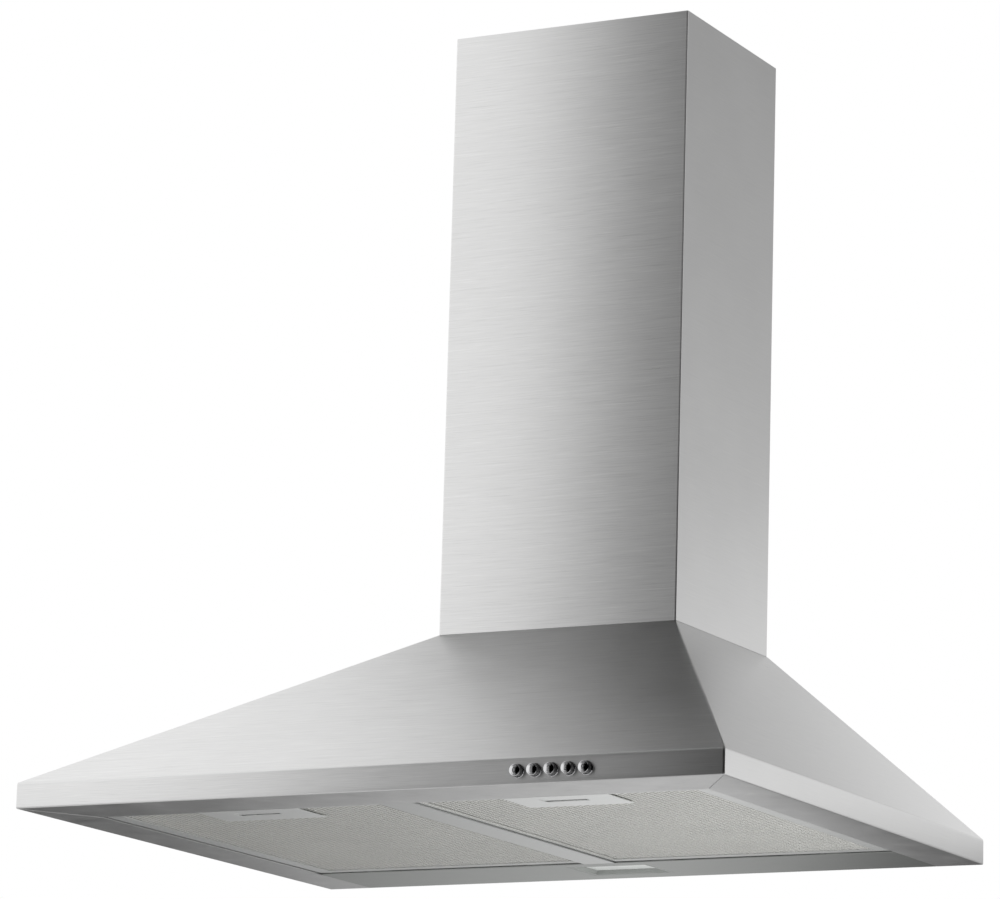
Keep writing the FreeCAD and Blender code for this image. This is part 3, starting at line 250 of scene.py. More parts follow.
steel = (0.80, 0.80, 0.797)
finishes = {
    "canopySteel": brushedSheet("canopySteel", (30, 30, 1500), steel, 0.13, 0.31, 0.04, 0.7),
    "slopeSteel": brushedSheet("slopeSteel", (30, 30, 1500), steel, 0.10, 0.31, 0.04, 0.7, 0.0),
    "chimneySteel": brushedSheet("chimneySteel", (30, 30, 1500), steel, 0.13, 0.31, 0.03, 0.7),
    "panelSteel": brushedSheet("panelSteel", (22, 900, 22), (0.50, 0.515, 0.50), 0.08, 0.36, 0.10),
    "barSteel": brushedSheet("barSteel", (900, 22, 22), (0.80, 0.81, 0.80), 0.07, 0.34, 0.08),
    "frameAluminium": satinMetal("frameAluminium", (0.72, 0.73, 0.72), 0.36, metallic=0.7),
    "plateAluminium": satinMetal("plateAluminium", (0.84, 0.85, 0.84), 0.34, metallic=0.7),
    "netAluminium": satinMetal("netAluminium", (0.63, 0.63, 0.60), 0.42, 400.0, metallic=0.25),
    # the pads' near-black shade is painted shade: it stands for the shade deep inside the filter behind the
    # face net, not the aluminium's own colour
    "padAluminiumPaintedShade": satinMetal("padAluminiumPaintedShade", (0.05, 0.051, 0.047), 0.5, 500.0, 0.2),
    "zinc": spangledZinc("zinc", (0.55, 0.56, 0.57)),
    "screwSteel": satinMetal("screwSteel", (0.58, 0.58, 0.59), 0.25),
    "springSteel": satinMetal("springSteel", (0.42, 0.42, 0.43), 0.3),
    "shaftSteel": satinMetal("shaftSteel", (0.6, 0.6, 0.61), 0.18),
    "castMotor": satinMetal("castMotor", (0.48, 0.49, 0.50), 0.45, 160.0, 0.3),
    "guardWire": satinMetal("guardWire", (0.62, 0.62, 0.62), 0.22),
    "chrome": polishedChrome("chrome"),
    "buttonInk": mouldedPlastic("buttonInk", (0.015, 0.015, 0.015), 0.4),
    "lens": frostedLens("lens"),
    "bezelPlastic": mouldedPlastic("bezelPlastic", (0.30, 0.31, 0.30), 0.45),
    "lampCover": mouldedPlastic("lampCover", (0.72, 0.72, 0.70), 0.5),
    "boardMask": mouldedPlastic("boardMask", (0.78, 0.78, 0.74), 0.35, 500.0, 0.05),
    "scrollPlastic": mouldedPlastic("scrollPlastic", (0.050, 0.051, 0.055), 0.5),
    "wheelPlastic": mouldedPlastic("wheelPlastic", (0.022, 0.022, 0.025), 0.42),
    "switchPlastic": mouldedPlastic("switchPlastic", (0.02, 0.02, 0.02), 0.45),
    "collarPlastic": mouldedPlastic("collarPlastic", (0.030, 0.030, 0.033), 0.48),
    "flapPlastic": mouldedPlastic("flapPlastic", (0.055, 0.055, 0.060), 0.5),
    "terminalPlastic": mouldedPlastic("terminalPlastic", (0.035, 0.035, 0.038), 0.42),
    "bushRubber": mouldedPlastic("bushRubber", (0.012, 0.012, 0.012), 0.75),
    "capacitorCase": satinMetal("capacitorCase", (0.66, 0.66, 0.67), 0.3),
}
print("finishes:", len(finishes))


def arrayMesh(name, points, faces):
    # faces is one array of quads or a list of arrays, each with its own number of corners
    groups = faces if isinstance(faces, list) else [faces]
    corners = np.concatenate([f.ravel() for f in groups])
    counts = np.concatenate([np.full(len(f), f.shape[1]) for f in groups])
    mesh = bpy.data.meshes.new(name)
    mesh.vertices.add(len(points))
    mesh.vertices.foreach_set("co", np.asarray(points, np.float32).ravel())
    mesh.loops.add(len(corners))
    mesh.loops.foreach_set("vertex_index", corners.astype(np.int32))
    mesh.polygons.add(len(counts))
    mesh.polygons.foreach_set("loop_start", np.concatenate([[0], np.cumsum(counts)[:-1]]).astype(np.int32))
    mesh.update(calc_edges=True)
    mesh.validate()
    return mesh


def addPiece(name, mesh, finish, body, stands=(), slot=None, crease=35):
    made = bpy.data.objects.new(name, mesh)
    bpy.context.scene.collection.objects.link(made)
    mesh.materials.append(finishes[finish])
    mesh.polygons.foreach_set("use_smooth", np.ones(len(mesh.polygons), bool))
    if crease:
        mesh.set_sharp_from_angle(angle=math.radians(crease))
    if stands:
        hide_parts(*stands)
        slot = slot or slotOf[stands[0]]
    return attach(made, body)


def gridQuads(rows, columns, wrapRows=False, wrapColumns=False):
    # quads between the points of a grid, numbered row by row
    i = np.arange(rows if wrapRows else rows - 1)[:, None]
    j = np.arange(columns if wrapColumns else columns - 1)[None, :]
    a, b = i * columns + j, i * columns + (j + 1) % columns
    c, d = ((i + 1) % rows) * columns + (j + 1) % columns, ((i + 1) % rows) * columns + j
    return np.stack([a, b, c, d], -1).reshape(-1, 4)


def roundedPath(corners, radius, steps):
    # each inner corner becomes a quadratic curve between the points a radius before and after it
    corners = np.asarray(corners, float)
    before, after = np.roll(corners, 1, 0) - corners, np.roll(corners, -1, 0) - corners
    before /= np.linalg.norm(before, axis=1)[:, None]
    after /= np.linalg.norm(after, axis=1)[:, None]
    turn = np.linspace(0, 1, steps)[None, :, None]
    first, last = (corners + before * radius)[:, None], (corners + after * radius)[:, None]
    curve = first * (1 - turn) ** 2 + corners[:, None] * 2 * turn * (1 - turn) + last * turn ** 2
    inner = curve[1:-1].reshape(-1, corners.shape[1])
    return np.concatenate([corners[:1], inner, corners[-1:]])


def thicken(piece, thickness):
    # a wall of even thickness behind the surface
    wall = piece.modifiers.new("Wall", "SOLIDIFY")
    wall.thickness, wall.offset, wall.use_even_offset, wall.use_quality_normals = thickness, -1, True, True
    bake(piece)


def bake(piece):
    # the piece's modifiers become its mesh
    bpy.context.view_layer.update()
    seen = piece.evaluated_get(bpy.context.evaluated_depsgraph_get())
    mesh = bpy.data.meshes.new_from_object(seen)
    piece.modifiers.clear()
    piece.data = mesh


slotOf = {s["node"]: s["material_slot"] for s in frame["record"]["subparts"]}


def nodeBox(name):
    # a node's lowest and highest corner
    low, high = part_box(name)
    return np.array(low), np.array(high)


def merged(parts):
    # several closed forms, each its points and face arrays, as one form
    start, points, faces = 0, [], []
    for form, sides in parts:
        points.append(form)
        faces += [side + start for side in (sides if isinstance(sides, list) else [sides])]
        start += len(form)
    return np.concatenate(points), faces


def turned(profile, centre, steps=48):
    # (radius, y) points carried round an axis along Y: x = radius cos, z = radius sin; both ends lie on it
    profile = np.asarray(profile, float)
    angle = np.linspace(0, 2 * np.pi, steps, endpoint=False)
    inner, count = profile[1:-1], (len(profile) - 2) * steps
    radius, along = inner[:, :1], np.repeat(inner[:, 1:], steps, 1)
    rings = np.stack([radius * np.cos(angle), along, radius * np.sin(angle)], -1)
    poles = np.array([(0, profile[0, 1], 0), (0, profile[-1, 1], 0)])
    here = np.arange(steps)
    after = (here + 1) % steps
    front = np.stack([np.full(steps, count), here, after], 1)
    back = np.stack([np.full(steps, count + 1), after, here], 1) + [0, count - steps, count - steps]
    wall = gridQuads(len(inner), steps, wrapColumns=True)[:, ::-1]
    return np.concatenate([rings.reshape(-1, 3), poles]) + centre, [wall, front, back]


def turnedRing(profile, centre, steps=48):
    # a closed (radius, y) profile carried round an axis along Y
    profile = np.asarray(profile, float)
    angle = np.linspace(0, 2 * np.pi, steps, endpoint=False)
    radius, along = profile[:, :1], np.repeat(profile[:, 1:], steps, 1)
    rings = np.stack([radius * np.cos(angle), along, radius * np.sin(angle)], -1)
    return rings.reshape(-1, 3) + centre, gridQuads(len(profile), steps, True, True)[:, ::-1]


def block(low, high):
    # the six outward faces of a straight-sided block
    x, y, z = np.meshgrid(*zip(low, high), indexing="ij")
    points = np.stack([x.ravel(), y.ravel(), z.ravel()], 1)
    sides = [(0, 1, 3, 2), (4, 6, 7, 5), (0, 4, 5, 1), (2, 3, 7, 6), (0, 2, 6, 4), (1, 5, 7, 3)]
    return points, np.array(sides)


buttonNames = ["button_off", "button_speed_1", "button_speed_2", "button_speed_3", "button_light"]
buttonColumns = [float((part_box(n)[0][0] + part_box(n)[1][0]) / 2) for n in buttonNames]
buttonLow, buttonHigh = nodeBox(buttonNames[0])
buttonHeight = float(buttonLow[2] + buttonHigh[2]) / 2
lipFace = float(nodeBox("canopy_shell")[0][1])
# the hole's drill and the bezel are profiles of (radius, depth behind the lip's face) in millimetres
button = {
    "radius": 4.5 * mm, "length": 12.5 * mm, "dome": 0.8 * mm, "edge": 0.7 * mm, "sunk": 0.06 * mm,
    "stem": 2 * mm, "stemLap": 0.5 * mm, "backEdge": 0.2 * mm, "faceSteps": 26, "edgeSteps": 7,
    "grooveAt": 3.05 * mm, "grooveWidth": 0.28 * mm, "grooveDepth": 0.05 * mm,
    "inkWidth": 0.26 * mm, "inkLift": 0.02 * mm, "inkThick": 0.03 * mm,
    "hole": [(0, -2.0), (5.2, -2.0), (5.2, 4.0), (0, 4.0)],
    "bezel": [(4.7, 2.0), (4.7, -0.4), (4.74, -0.56), (4.86, -0.64), (5.0, -0.6), (5.14, -0.46),
              (5.24, -0.28), (5.36, -0.08), (5.42, 0.0), (5.1, 0.0), (5.1, 2.0)],
}


def onLip(profile):
    # a profile in millimetres, put on the lip's face
    return np.array(profile) * mm + [0, lipFace]


sheetCrease = math.radians(28)
tiny = 1e-6

# the folded canopy: the openings and the chimney are half widths or depths from the wall, grainCentre is the
# texture space's middle, and a face whose normal passes slopeNormal sideways and upwards is a side slope
canopy = {
    "chimneyHalf": 107 * mm, "chimneyDepth": 178 * mm, "lip": 20 * mm, "sheet": 1 * mm,
    "openingSide": 260 * mm, "openingFront": 440 * mm, "flange": 12 * mm,
    "foldRadius": 1.6 * mm, "foldSteps": 6, "cornerRadius": 1.8 * mm, "cornerSteps": 9,
    "mitreGroove": 0.85 * mm, "grainCentre": (0, 1.5, 0), "slopeNormal": 0.3,
}


def canopySurface():
    # profile of (half width, depth, height) from the rim's inner edge round the lip and up the slope to the
    # flange; each profile point is carried along a path of back left, front left, front right and back right
    low, high = nodeBox("canopy_shell")
    half, depth, top = high[0], -low[1], high[2]
    c = canopy
    profile = roundedPath([
        (c["openingSide"], c["openingFront"], 0), (half, depth, 0), (half, depth, c["lip"]),
        (c["chimneyHalf"], c["chimneyDepth"], top),
        (c["chimneyHalf"] - c["flange"], c["chimneyDepth"] - c["flange"], top),
    ], c["foldRadius"], c["foldSteps"])
    steps = c["cornerSteps"]
    turn = np.linspace(0, 1, steps)
    weight = np.stack([(1 - turn) ** 2, 2 * turn * (1 - turn), turn ** 2])
    bends = []
    for side, reach in ((-1, [(0, 1), (0, 0), (1, 0)]), (1, [(-1, 0), (0, 0), (0, 1)])):
        corner = np.stack([side * profile[:, 0], -profile[:, 1]], 1)
        curve = weight.T @ (np.array(reach, float) * c["cornerRadius"])
        bends.append(corner[:, None] + curve[None])
    wall = np.zeros(len(profile))
    left = np.stack([-profile[:, 0], wall], 1)[:, None]
    right = np.stack([profile[:, 0], wall], 1)[:, None]
    plan = np.concatenate([left, *bends, right], 1)
    heights = np.repeat(profile[:, 2:3], plan.shape[1], 1)
    rim = profile[:, 2] < tiny
    for middle in (1 + steps // 2, 1 + steps + steps // 2):
        for beside, share in ((-1, 0.5), (0, 1.0), (1, 0.5)):
            heights[rim, middle + beside] += share * c["mitreGroove"]
    points = np.concatenate([plan, heights[:, :, None]], 2)
    return arrayMesh("canopySkin", points.reshape(-1, 3), gridQuads(points.shape[0], points.shape[1]))


def layGrain(mesh):
    # the shader's grain runs round the texture space's middle: far behind the wall that is straight along X,
    # and on the side slopes it runs up them, so these get the finish whose grain is turned back
    mesh.use_auto_texspace = False
    mesh.texspace_location, mesh.texspace_size = canopy["grainCentre"], (1, 1, 1)
    mesh.materials.append(finishes["slopeSteel"])
    normal = np.zeros(3 * len(mesh.polygons), np.float32)
    mesh.polygons.foreach_get("normal", normal)
    normal = np.abs(normal.reshape(-1, 3))
    sloped = (normal[:, 0] > canopy["slopeNormal"]) & (normal[:, 2] > canopy["slopeNormal"])
    mesh.polygons.foreach_set("material_index", sloped.astype(np.int32))


def makeCanopy():
    skin = addPiece("canopySkin", canopySurface(), "canopySteel", "hood", ["canopy_shell"], crease=0)
    thicken(skin, canopy["sheet"])
    drills = [turned(onLip(button["hole"]), (x, 0, buttonHeight)) for x in buttonColumns]
    tool = bpy.data.objects.new("lipHoles", arrayMesh("lipHoles", *merged(drills)))
    bpy.context.scene.collection.objects.link(tool)
    hole = skin.modifiers.new("Holes", "BOOLEAN")
    hole.operation, hole.object, hole.solver = "DIFFERENCE", tool, "EXACT"
    bake(skin)
    bpy.data.objects.remove(tool)
    skin.data.set_sharp_from_angle(angle=sheetCrease)
    layGrain(skin.data)


makeCanopy()
print("canopy made")


# the two telescopic chimney covers
covers = {"turnedEdge": 14 * mm, "bendRadius": 1.5 * mm, "bendSteps": 8, "endStrip": 1 * mm, "sheet": 1 * mm}


def makeCover(name, node, finish, body):
    # a plan path from one turned-in rear edge round the front to the other, carried straight up
    low, high = nodeBox(node)
    edge = high[0] - covers["turnedEdge"]
    plan = roundedPath([
        (-edge, high[1]), (low[0], high[1]), (low[0], low[1]),
        (high[0], low[1]), (high[0], high[1]), (edge, high[1]),
    ], covers["bendRadius"], covers["bendSteps"])
    strip = covers["endStrip"]
    heights = np.array([low[2], low[2] + strip, high[2] - strip, high[2]])
    rows = np.repeat(plan[None], len(heights), 0)
    points = np.concatenate([rows, np.repeat(heights[:, None, None], len(plan), 1)], 2)
    mesh = arrayMesh(name, points.reshape(-1, 3), gridQuads(len(heights), len(plan)))
    cover = addPiece(name, mesh, finish, body, [node], crease=0)
    thicken(cover, covers["sheet"])
    cover.data.set_sharp_from_angle(angle=sheetCrease)


makeCover("lowerCover", "lower_chimney", "chimneySteel", "hood")
makeCover("upperCover", "upper_chimney", "chimneySteel", "chimney_sleeve")
print("chimney made")


def lattice(low, high, pitch, strand, stretch, hidden=None):
    # a staggered field of four-cornered holes: each hole gives two strands and a crossing; holes that would
    # pass the edge shrink to a point, and points outside move onto the edge, so the border is solid
    rise = pitch / 2 * stretch
    spare = 4
    columns, rows = int((high[0] - low[0]) / pitch) + spare, int((high[1] - low[1]) / rise) + spare
    i, j = np.meshgrid(np.arange(columns), np.arange(rows), indexing="ij")
    middle = (np.array(low) + np.array(high)) / 2
    x = middle[0] + (i - columns / 2 + 0.5 * (j % 2)) * pitch
    y = middle[1] + (j - rows / 2) * rise
    reach, climb = pitch / 2 - strand, rise - strand * stretch
    clear = (x - reach > low[0] + strand) & (x + reach < high[0] - strand)
    clear &= (y - climb > low[1] + strand) & (y + climb < high[1] - strand)
    if hidden is not None:
        clear &= ~((abs(x - hidden[0]) < hidden[1] + pitch) & (y < hidden[2] + 2 * rise))
    w, h = np.where(clear, reach, 0), np.where(clear, climb, 0)
    corners = np.stack([np.stack(c, -1) for c in ((x + w, y), (x, y + h), (x - w, y), (x, y - h))], 2)
    points = np.clip(corners.reshape(-1, 2), low, high)

    def spot(a, b, corner):
        return (a * rows + b) * 4 + corner

    a, b = np.meshgrid(np.arange(1, columns - 2), np.arange(1, rows - 1), indexing="ij")
    shift = b % 2
    ne, se, e = (a + shift, b + 1), (a + shift, b - 1), (a + 1, b)
    right, top, left, bottom = 0, 1, 2, 3
    quads = np.concatenate([np.stack(q, -1).reshape(-1, 4) for q in (
        (spot(a, b, top), spot(a, b, right), spot(*ne, bottom), spot(*ne, left)),
        (spot(a, b, right), spot(a, b, bottom), spot(*se, left), spot(*se, top)),
        (spot(a, b, right), spot(*se, top), spot(*e, left), spot(*ne, bottom)),
    )])
    return points, quads


def thickNet(name, points, quads, floor, thickness, wave=None, hidden=None):
    # the flat sheet's quads, less the collapsed ones and those in the hidden notch, put at two heights, with
    # a wall on every edge that only one quad uses
    cell = np.round(points / nets["weld"]).astype(np.int64)
    _, first, same = np.unique(cell, axis=0, return_index=True, return_inverse=True)
    points, quads = points[first], same.ravel()[quads]
    p = points[quads]
    area = 0.5 * np.abs(np.cross(p[:, 2] - p[:, 0], p[:, 3] - p[:, 1]))
    keep = area > nets["leastArea"]
    if hidden is not None:
        inside = (np.abs(p[:, :, 0] - hidden[0]) < hidden[1]) & (p[:, :, 1] < hidden[2])
        keep &= ~inside.any(1)
    quads = quads[keep]
    p = points[quads]
    flipped = np.cross(p[:, 2] - p[:, 0], p[:, 3] - p[:, 1]) < 0
    quads[flipped] = quads[flipped][:, ::-1]
    used = np.unique(quads)
    renumber = np.zeros(len(points), np.int64)
    renumber[used] = np.arange(len(used))
    points, quads = points[used], renumber[quads]
    starts = quads.ravel()
    ends = np.roll(quads, -1, 1).ravel()
    real = starts != ends
    starts, ends = starts[real], ends[real]
    count = len(points)
    forward, backward = starts * count + ends, ends * count + starts
    lone = ~np.isin(forward, backward)
    starts, ends = starts[lone], ends[lone]
    lift = wave(points[:, 0], points[:, 1]) if wave else np.zeros(count)
    under = np.column_stack([points, floor + lift])
    over = np.column_stack([points, floor + lift + thickness])
    walls = np.column_stack([starts, ends, ends + count, starts + count])
    faces = np.concatenate([quads[:, ::-1], quads + count, walls])
    return arrayMesh(name, np.concatenate([under, over]), faces)


nets = {
    "pitch": 6.4 * mm, "strand": 1.0 * mm, "stretch": 0.82, "foil": 0.3 * mm, "notchPlay": 0.3 * mm,
    "backPitch": 6.4 * mm, "backStrand": 0.9 * mm,
    "padPitch": 8.0 * mm, "padStrand": 1.0 * mm, "padLayers": 2, "padFoil": 0.4 * mm,
    "padWave": 1.0 * mm, "padRipple": 26 * mm, "weld": 0.02 * mm, "leastArea": 1e-10,
}


def makeNets(side):
    cover = nodeBox(f"filter_{side}_latch_cover")
    centre = (cover[0][0] + cover[1][0]) / 2
    play = nets["notchPlay"]
    notch = (centre, (cover[1][0] - cover[0][0]) / 2 + play, cover[1][1] + play)
    body = f"filter_{side}"
    low, high = nodeBox(f"filter_{side}_face_mesh")
    points, quads = lattice(low[:2], high[:2], nets["pitch"], nets["strand"], nets["stretch"], notch)
    mesh = thickNet(f"{side}FaceNet", points, quads, low[2], nets["foil"], None, notch)
    addPiece(f"{side}FaceNet", mesh, "netAluminium", body, [f"filter_{side}_face_mesh"], crease=20)

    low, high = nodeBox(f"filter_{side}_back_mesh")
    points, quads = lattice(low[:2], high[:2], nets["backPitch"], nets["backStrand"], 1.0)
    mesh = thickNet(f"{side}BackNet", points, quads, low[2], high[2] - low[2])
    addPiece(f"{side}BackNet", mesh, "netAluminium", body, [f"filter_{side}_back_mesh"], crease=20)

    low, high = nodeBox(f"filter_{side}_core")
    depth = (high[2] - low[2]) / nets["padLayers"]
    for layer in range(nets["padLayers"]):
        def wave(x, y):
            # a ripple along one diagonal, and along the other in the next layer
            along = x + (1 if layer % 2 else -1) * y
            return nets["padWave"] * (1 + np.sin(2 * np.pi * along / nets["padRipple"]))
        points, quads = lattice(low[:2], high[:2], nets["padPitch"], nets["padStrand"], 1.0, notch)
        floor = low[2] + layer * depth
        mesh = thickNet(f"{side}Pad{layer}", points, quads, floor, nets["padFoil"], wave, notch)
        # each pad layer takes the near-black finish, which is painted shade
        addPiece(f"{side}Pad{layer}", mesh, "padAluminiumPaintedShade", body, [f"filter_{side}_core"], crease=20)


def fourSided(stations):
    # rows of four corners joined into a closed bar with two end faces
    count = len(stations)
    skin = gridQuads(count, 4, wrapColumns=True)
    ends = np.array([(0, 1, 2, 3), (4 * count - 1, 4 * count - 2, 4 * count - 3, 4 * count - 4)])
    return stations.reshape(-1, 3), np.concatenate([skin[:, ::-1], ends[:, ::-1]])


leafSpring = {"thickness": 0.3 * mm, "travel": 4 * mm, "stations": 25}


def makeSpring(side):
    # a bowed leaf: depth = seat - rise * cos(pi u / 2) for u from -1 to 1
    name = f"filter_{side}_latch_spring"
    low, high = nodeBox(name)
    leaf, count = leafSpring["thickness"], leafSpring["stations"]
    u = np.linspace(-1, 1, count)
    x = (low[0] + high[0]) / 2 + u * (high[0] - low[0]) / 2
    front = high[1] - leaf - (high[1] - low[1] - leaf) * np.cos(np.pi * u / 2)
    rear = front + leaf
    bottom, top = np.full(count, low[2]), np.full(count, high[2])
    corners = (x, front, bottom), (x, rear, bottom), (x, rear, top), (x, front, top)
    stations = np.stack([np.stack(c, 1) for c in corners], 1)
    mesh = arrayMesh(f"{side}Spring", *fourSided(stations))
    spring = addPiece(f"{side}Spring", mesh, "springSteel", f"filter_{side}", [name], crease=30)
    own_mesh(spring)


for side in ("left", "right"):
    makeNets(side)
    makeSpring(side)
print("nets and springs made")


def domeDepth(x, z):
    # how far the cap's face lies behind its middle: a shallow bowl, with one round groove
    b = button
    r = np.hypot(x, z)
    groove = b["grooveDepth"] * np.exp(-((r - b["grooveAt"]) / b["grooveWidth"]) ** 2)
    return b["dome"] * (r / b["radius"]) ** 2 + groove


def capProfile(front):
    # from the middle of the face over the eased edge to the back
    b = button
    face = np.linspace(0, b["radius"] - b["edge"], b["faceSteps"])
    turn = np.linspace(0, np.pi / 2, b["edgeSteps"])
    start = front + domeDepth(face[-1], 0)
    edge = np.stack([face[-1] + b["edge"] * np.sin(turn), start + b["edge"] * (1 - np.cos(turn))], 1)
    back = front - b["sunk"] + b["length"]
    rear = [(b["radius"], back - b["backEdge"]), (b["radius"] - b["backEdge"], back), (0, back)]
    return np.concatenate([np.stack([face, front + domeDepth(face, 0)], 1), edge[1:], rear])


def arc(cx, cz, radius, start, end, squash=1.0, steps=20):
    # points on part of a circle, from one angle to another in degrees
    turn = np.radians(np.linspace(start, end, steps))
    return np.stack([cx + radius * np.cos(turn) * squash, cz + radius * np.sin(turn)], 1)


# pen strokes in millimetres: off, three speeds and a lamp
signs = {
    "button_off": [arc(0, 0, 1.75, 90, 450, 0.62, 36)],
    "button_speed_1": [np.array([(-0.75, 0.95), (0.1, 1.75), (0.1, -1.75)])],
    "button_speed_2": [np.concatenate([arc(0, 0.72, 1.03, 165, -35), [(-1.05, -1.75), (1.15, -1.75)]])],
    "button_speed_3": [np.concatenate([arc(0, 0.87, 0.88, 150, -90), arc(0, -0.87, 0.88, 90, -150)])],
    "button_light": [arc(0, 0.35, 1.05, 245, -65),
                     np.array([(-0.45, -0.6), (-0.45, -1.3), (0.45, -1.3), (0.45, -0.6)])],
}


def penStroke(path, x, front):
    # a flat ribbon along the path, laid on the dome: each point steps to both sides by half the pen's width
    path = path * mm
    along = np.gradient(path, axis=0)
    along /= np.maximum(np.linalg.norm(along, axis=1), 1e-12)[:, None]
    across = np.stack([-along[:, 1], along[:, 0]], 1) * button["inkWidth"]
    closed = np.linalg.norm(path[0] - path[-1]) < tiny
    if closed:
        across[[0, -1]] = (across[0] + across[-1]) / 2
    flat = np.stack([path - across, path + across], 1)
    surface = front + domeDepth(flat[..., 0], flat[..., 1])
    layers = [np.stack([flat[..., 0] + x, surface - lift, flat[..., 1] + buttonHeight], -1)
              for lift in (button["inkLift"], button["inkLift"] + button["inkThick"])]
    inner, outer = layers
    return fourSided(np.stack([inner[:, 0], inner[:, 1], outer[:, 1], outer[:, 0]], 1))


def makeButtons():
    b = button
    for name, x in zip(buttonNames, buttonColumns):
        low, high = nodeBox(name)
        front = low[1] + b["sunk"]
        back = low[1] + b["length"]
        stem = block((x - b["stem"], back - b["stemLap"], buttonHeight - b["stem"]),
                     (x + b["stem"], high[1], buttonHeight + b["stem"]))
        cap = turned(capProfile(front), (x, 0, buttonHeight))
        short = name.replace("button_", "")
        body = name + "_body"
        mesh = arrayMesh(short + "Cap", *merged([cap, stem]))
        addPiece(short + "Cap", mesh, "chrome", body, [name], crease=40)
        ink = merged([penStroke(path, x, front) for path in signs[name]])
        addPiece(short + "Sign", arrayMesh(short + "Sign", *ink), "buttonInk", body, slot="switch_plastic")
    rings = [turnedRing(onLip(b["bezel"]), (x, 0, buttonHeight)) for x in buttonColumns]
    mesh = arrayMesh("bezelRings", *merged(rings))
    addPiece("bezelRings", mesh, "chrome", "hood", ["button_bezels"], crease=50)


makeButtons()
print("buttons made")


# how a CAD piece that keeps its shape is welded, flattened and eased
easing = {"weld": 0.002 * mm, "flat": math.radians(0.5), "corner": math.radians(40), "segments": 2}


def ease(name, finish, width):
    # the CAD piece with its own finish and, where width in millimetres isn't 0, eased edges
    piece = nodes[name]
    piece.data.materials.clear()
    piece.data.materials.append(finishes[finish])
    if width:
        weld = piece.modifiers.new("Weld", "WELD")
        weld.merge_threshold = easing["weld"]
        flat = piece.modifiers.new("Flat", "DECIMATE")
        flat.decimate_type, flat.angle_limit = "DISSOLVE", easing["flat"]
        edge = piece.modifiers.new("Edge", "BEVEL")
        edge.width, edge.segments, edge.limit_method = width * mm, easing["segments"], "ANGLE"
        edge.angle_limit, edge.harden_normals = easing["corner"], True


kept = {
    "canopy_back_panel": ("zinc", 0), "lamp_panel": ("panelSteel", 0.2), "centre_bar": ("barSteel", 0.3),
    "switch_body": ("switchPlastic", 0.3), "switch_bracket": ("zinc", 0.2),
    "switch_screws": ("screwSteel", 0.3), "lamp_bezel": ("bezelPlastic", 0.2), "lamp_lens": ("lens", 0),
    "lamp_cover": ("lampCover", 0.3), "lamp_board": ("boardMask", 0), "scroll_left": ("scrollPlastic", 0),
    "scroll_right": ("scrollPlastic", 0), "fan_wheel": ("wheelPlastic", 0), "motor": ("castMotor", 0),
    "shaft_bearings": ("shaftSteel", 0), "motor_shaft": ("shaftSteel", 0), "motor_bracket": ("zinc", 0.2),
    "motor_bushes": ("bushRubber", 0), "inlet_guard": ("guardWire", 0), "deck_plate": ("zinc", 0),
    "blower_screws": ("screwSteel", 0.3), "deck_screws": ("screwSteel", 0.3),
    "outlet_collar": ("collarPlastic", 0), "flap_pin": ("shaftSteel", 0),
    "flap_front": ("flapPlastic", 0), "flap_rear": ("flapPlastic", 0),
    "terminal_box": ("terminalPlastic", 0.4), "terminal_lid": ("terminalPlastic", 0.4),
    "cable_gland": ("terminalPlastic", 0), "capacitor": ("capacitorCase", 0), "capacitor_clip": ("zinc", 0),
    "chimney_bracket": ("zinc", 0.2),
}
for name, (finish, width) in kept.items():
    ease(name, finish, width)
for side in ("left", "right"):
    for part, finish, width in (("frame", "frameAluminium", 0.2), ("latch_plate", "plateAluminium", 0.15),
                                ("latch_cover", "plateAluminium", 0.15), ("latch", "plateAluminium", 0.2)):
        ease(f"filter_{side}_{part}", finish, width)
print("kept pieces finished")


# place and sensor in millimetres, angles in degrees, focal length and width in the photograph's pixels
camera = {
    "place": (1751.4, -3656.2, -525.2), "yaw": 27.45, "pitch": 12.33, "roll": 1.60, "focal": 4898.0,
    "imageWidth": 1000, "sensor": 36.0, "far": 100,
}


def makeCamera():
    yaw, pitch, roll = (math.radians(camera[k]) for k in ("yaw", "pitch", "roll"))
    forward = Vector((-math.sin(yaw) * math.cos(pitch), math.cos(yaw) * math.cos(pitch), math.sin(pitch)))
    right = forward.cross(Vector((0, 0, 1))).normalized()
    up = right.cross(forward)
    across = right * math.cos(roll) + up * math.sin(roll)
    upright = across.cross(forward)
    lens = bpy.data.cameras.new("Camera")
    lens.sensor_width = camera["sensor"]
    lens.lens = camera["focal"] / camera["imageWidth"] * camera["sensor"]
    lens.clip_end = camera["far"]
    eye = bpy.data.objects.new("Camera", lens)
    bpy.context.scene.collection.objects.link(eye)
    turn = Matrix((across, upright, -forward)).transposed().to_4x4()
    eye.matrix_world = Matrix.Translation(Vector(camera["place"]) * mm) @ turn
    bpy.context.scene.camera = eye


# name, place, target and size in metres, power in watts
softboxes = (
    ("keyLeft", (-1.6, -1.6, 0.9), (0, -0.2, 0.3), (1.2, 2.0), 9),
    ("fillRight", (2.2, -0.8, 0.5), (0.1, -0.2, 0.3), (1.5, 1.8), 6),
    ("fillBelow", (0.5, -0.35, -0.4), (0.2, -0.3, 0), (0.5, 0.5), 3.2),
)


def softbox(name, place, target, size, power):
    light = bpy.data.lights.new(name, "AREA")
    light.shape, light.size, light.size_y, light.energy = "RECTANGLE", *size, power
    lamp = bpy.data.objects.new(name, light)
    bpy.context.scene.collection.objects.link(lamp)
    lamp.location = place
    lamp.visible_glossy = False
    lamp.rotation_euler = (Vector(target) - Vector(place)).to_track_quat("-Z", "Y").to_euler()


# the world's fill, the share of white that metal mirrors second-hand, and the glossy depth past which a
# reflection counts as second-hand; the floor's half width, height and shade
studio = {
    "fill": 0.62, "again": 0.03, "secondHand": 1.5,
    "floorHalf": 6.0, "floorLevel": -1.3, "floorShade": (0.80, 0.80, 0.80, 1), "floorRough": 0.9,
}


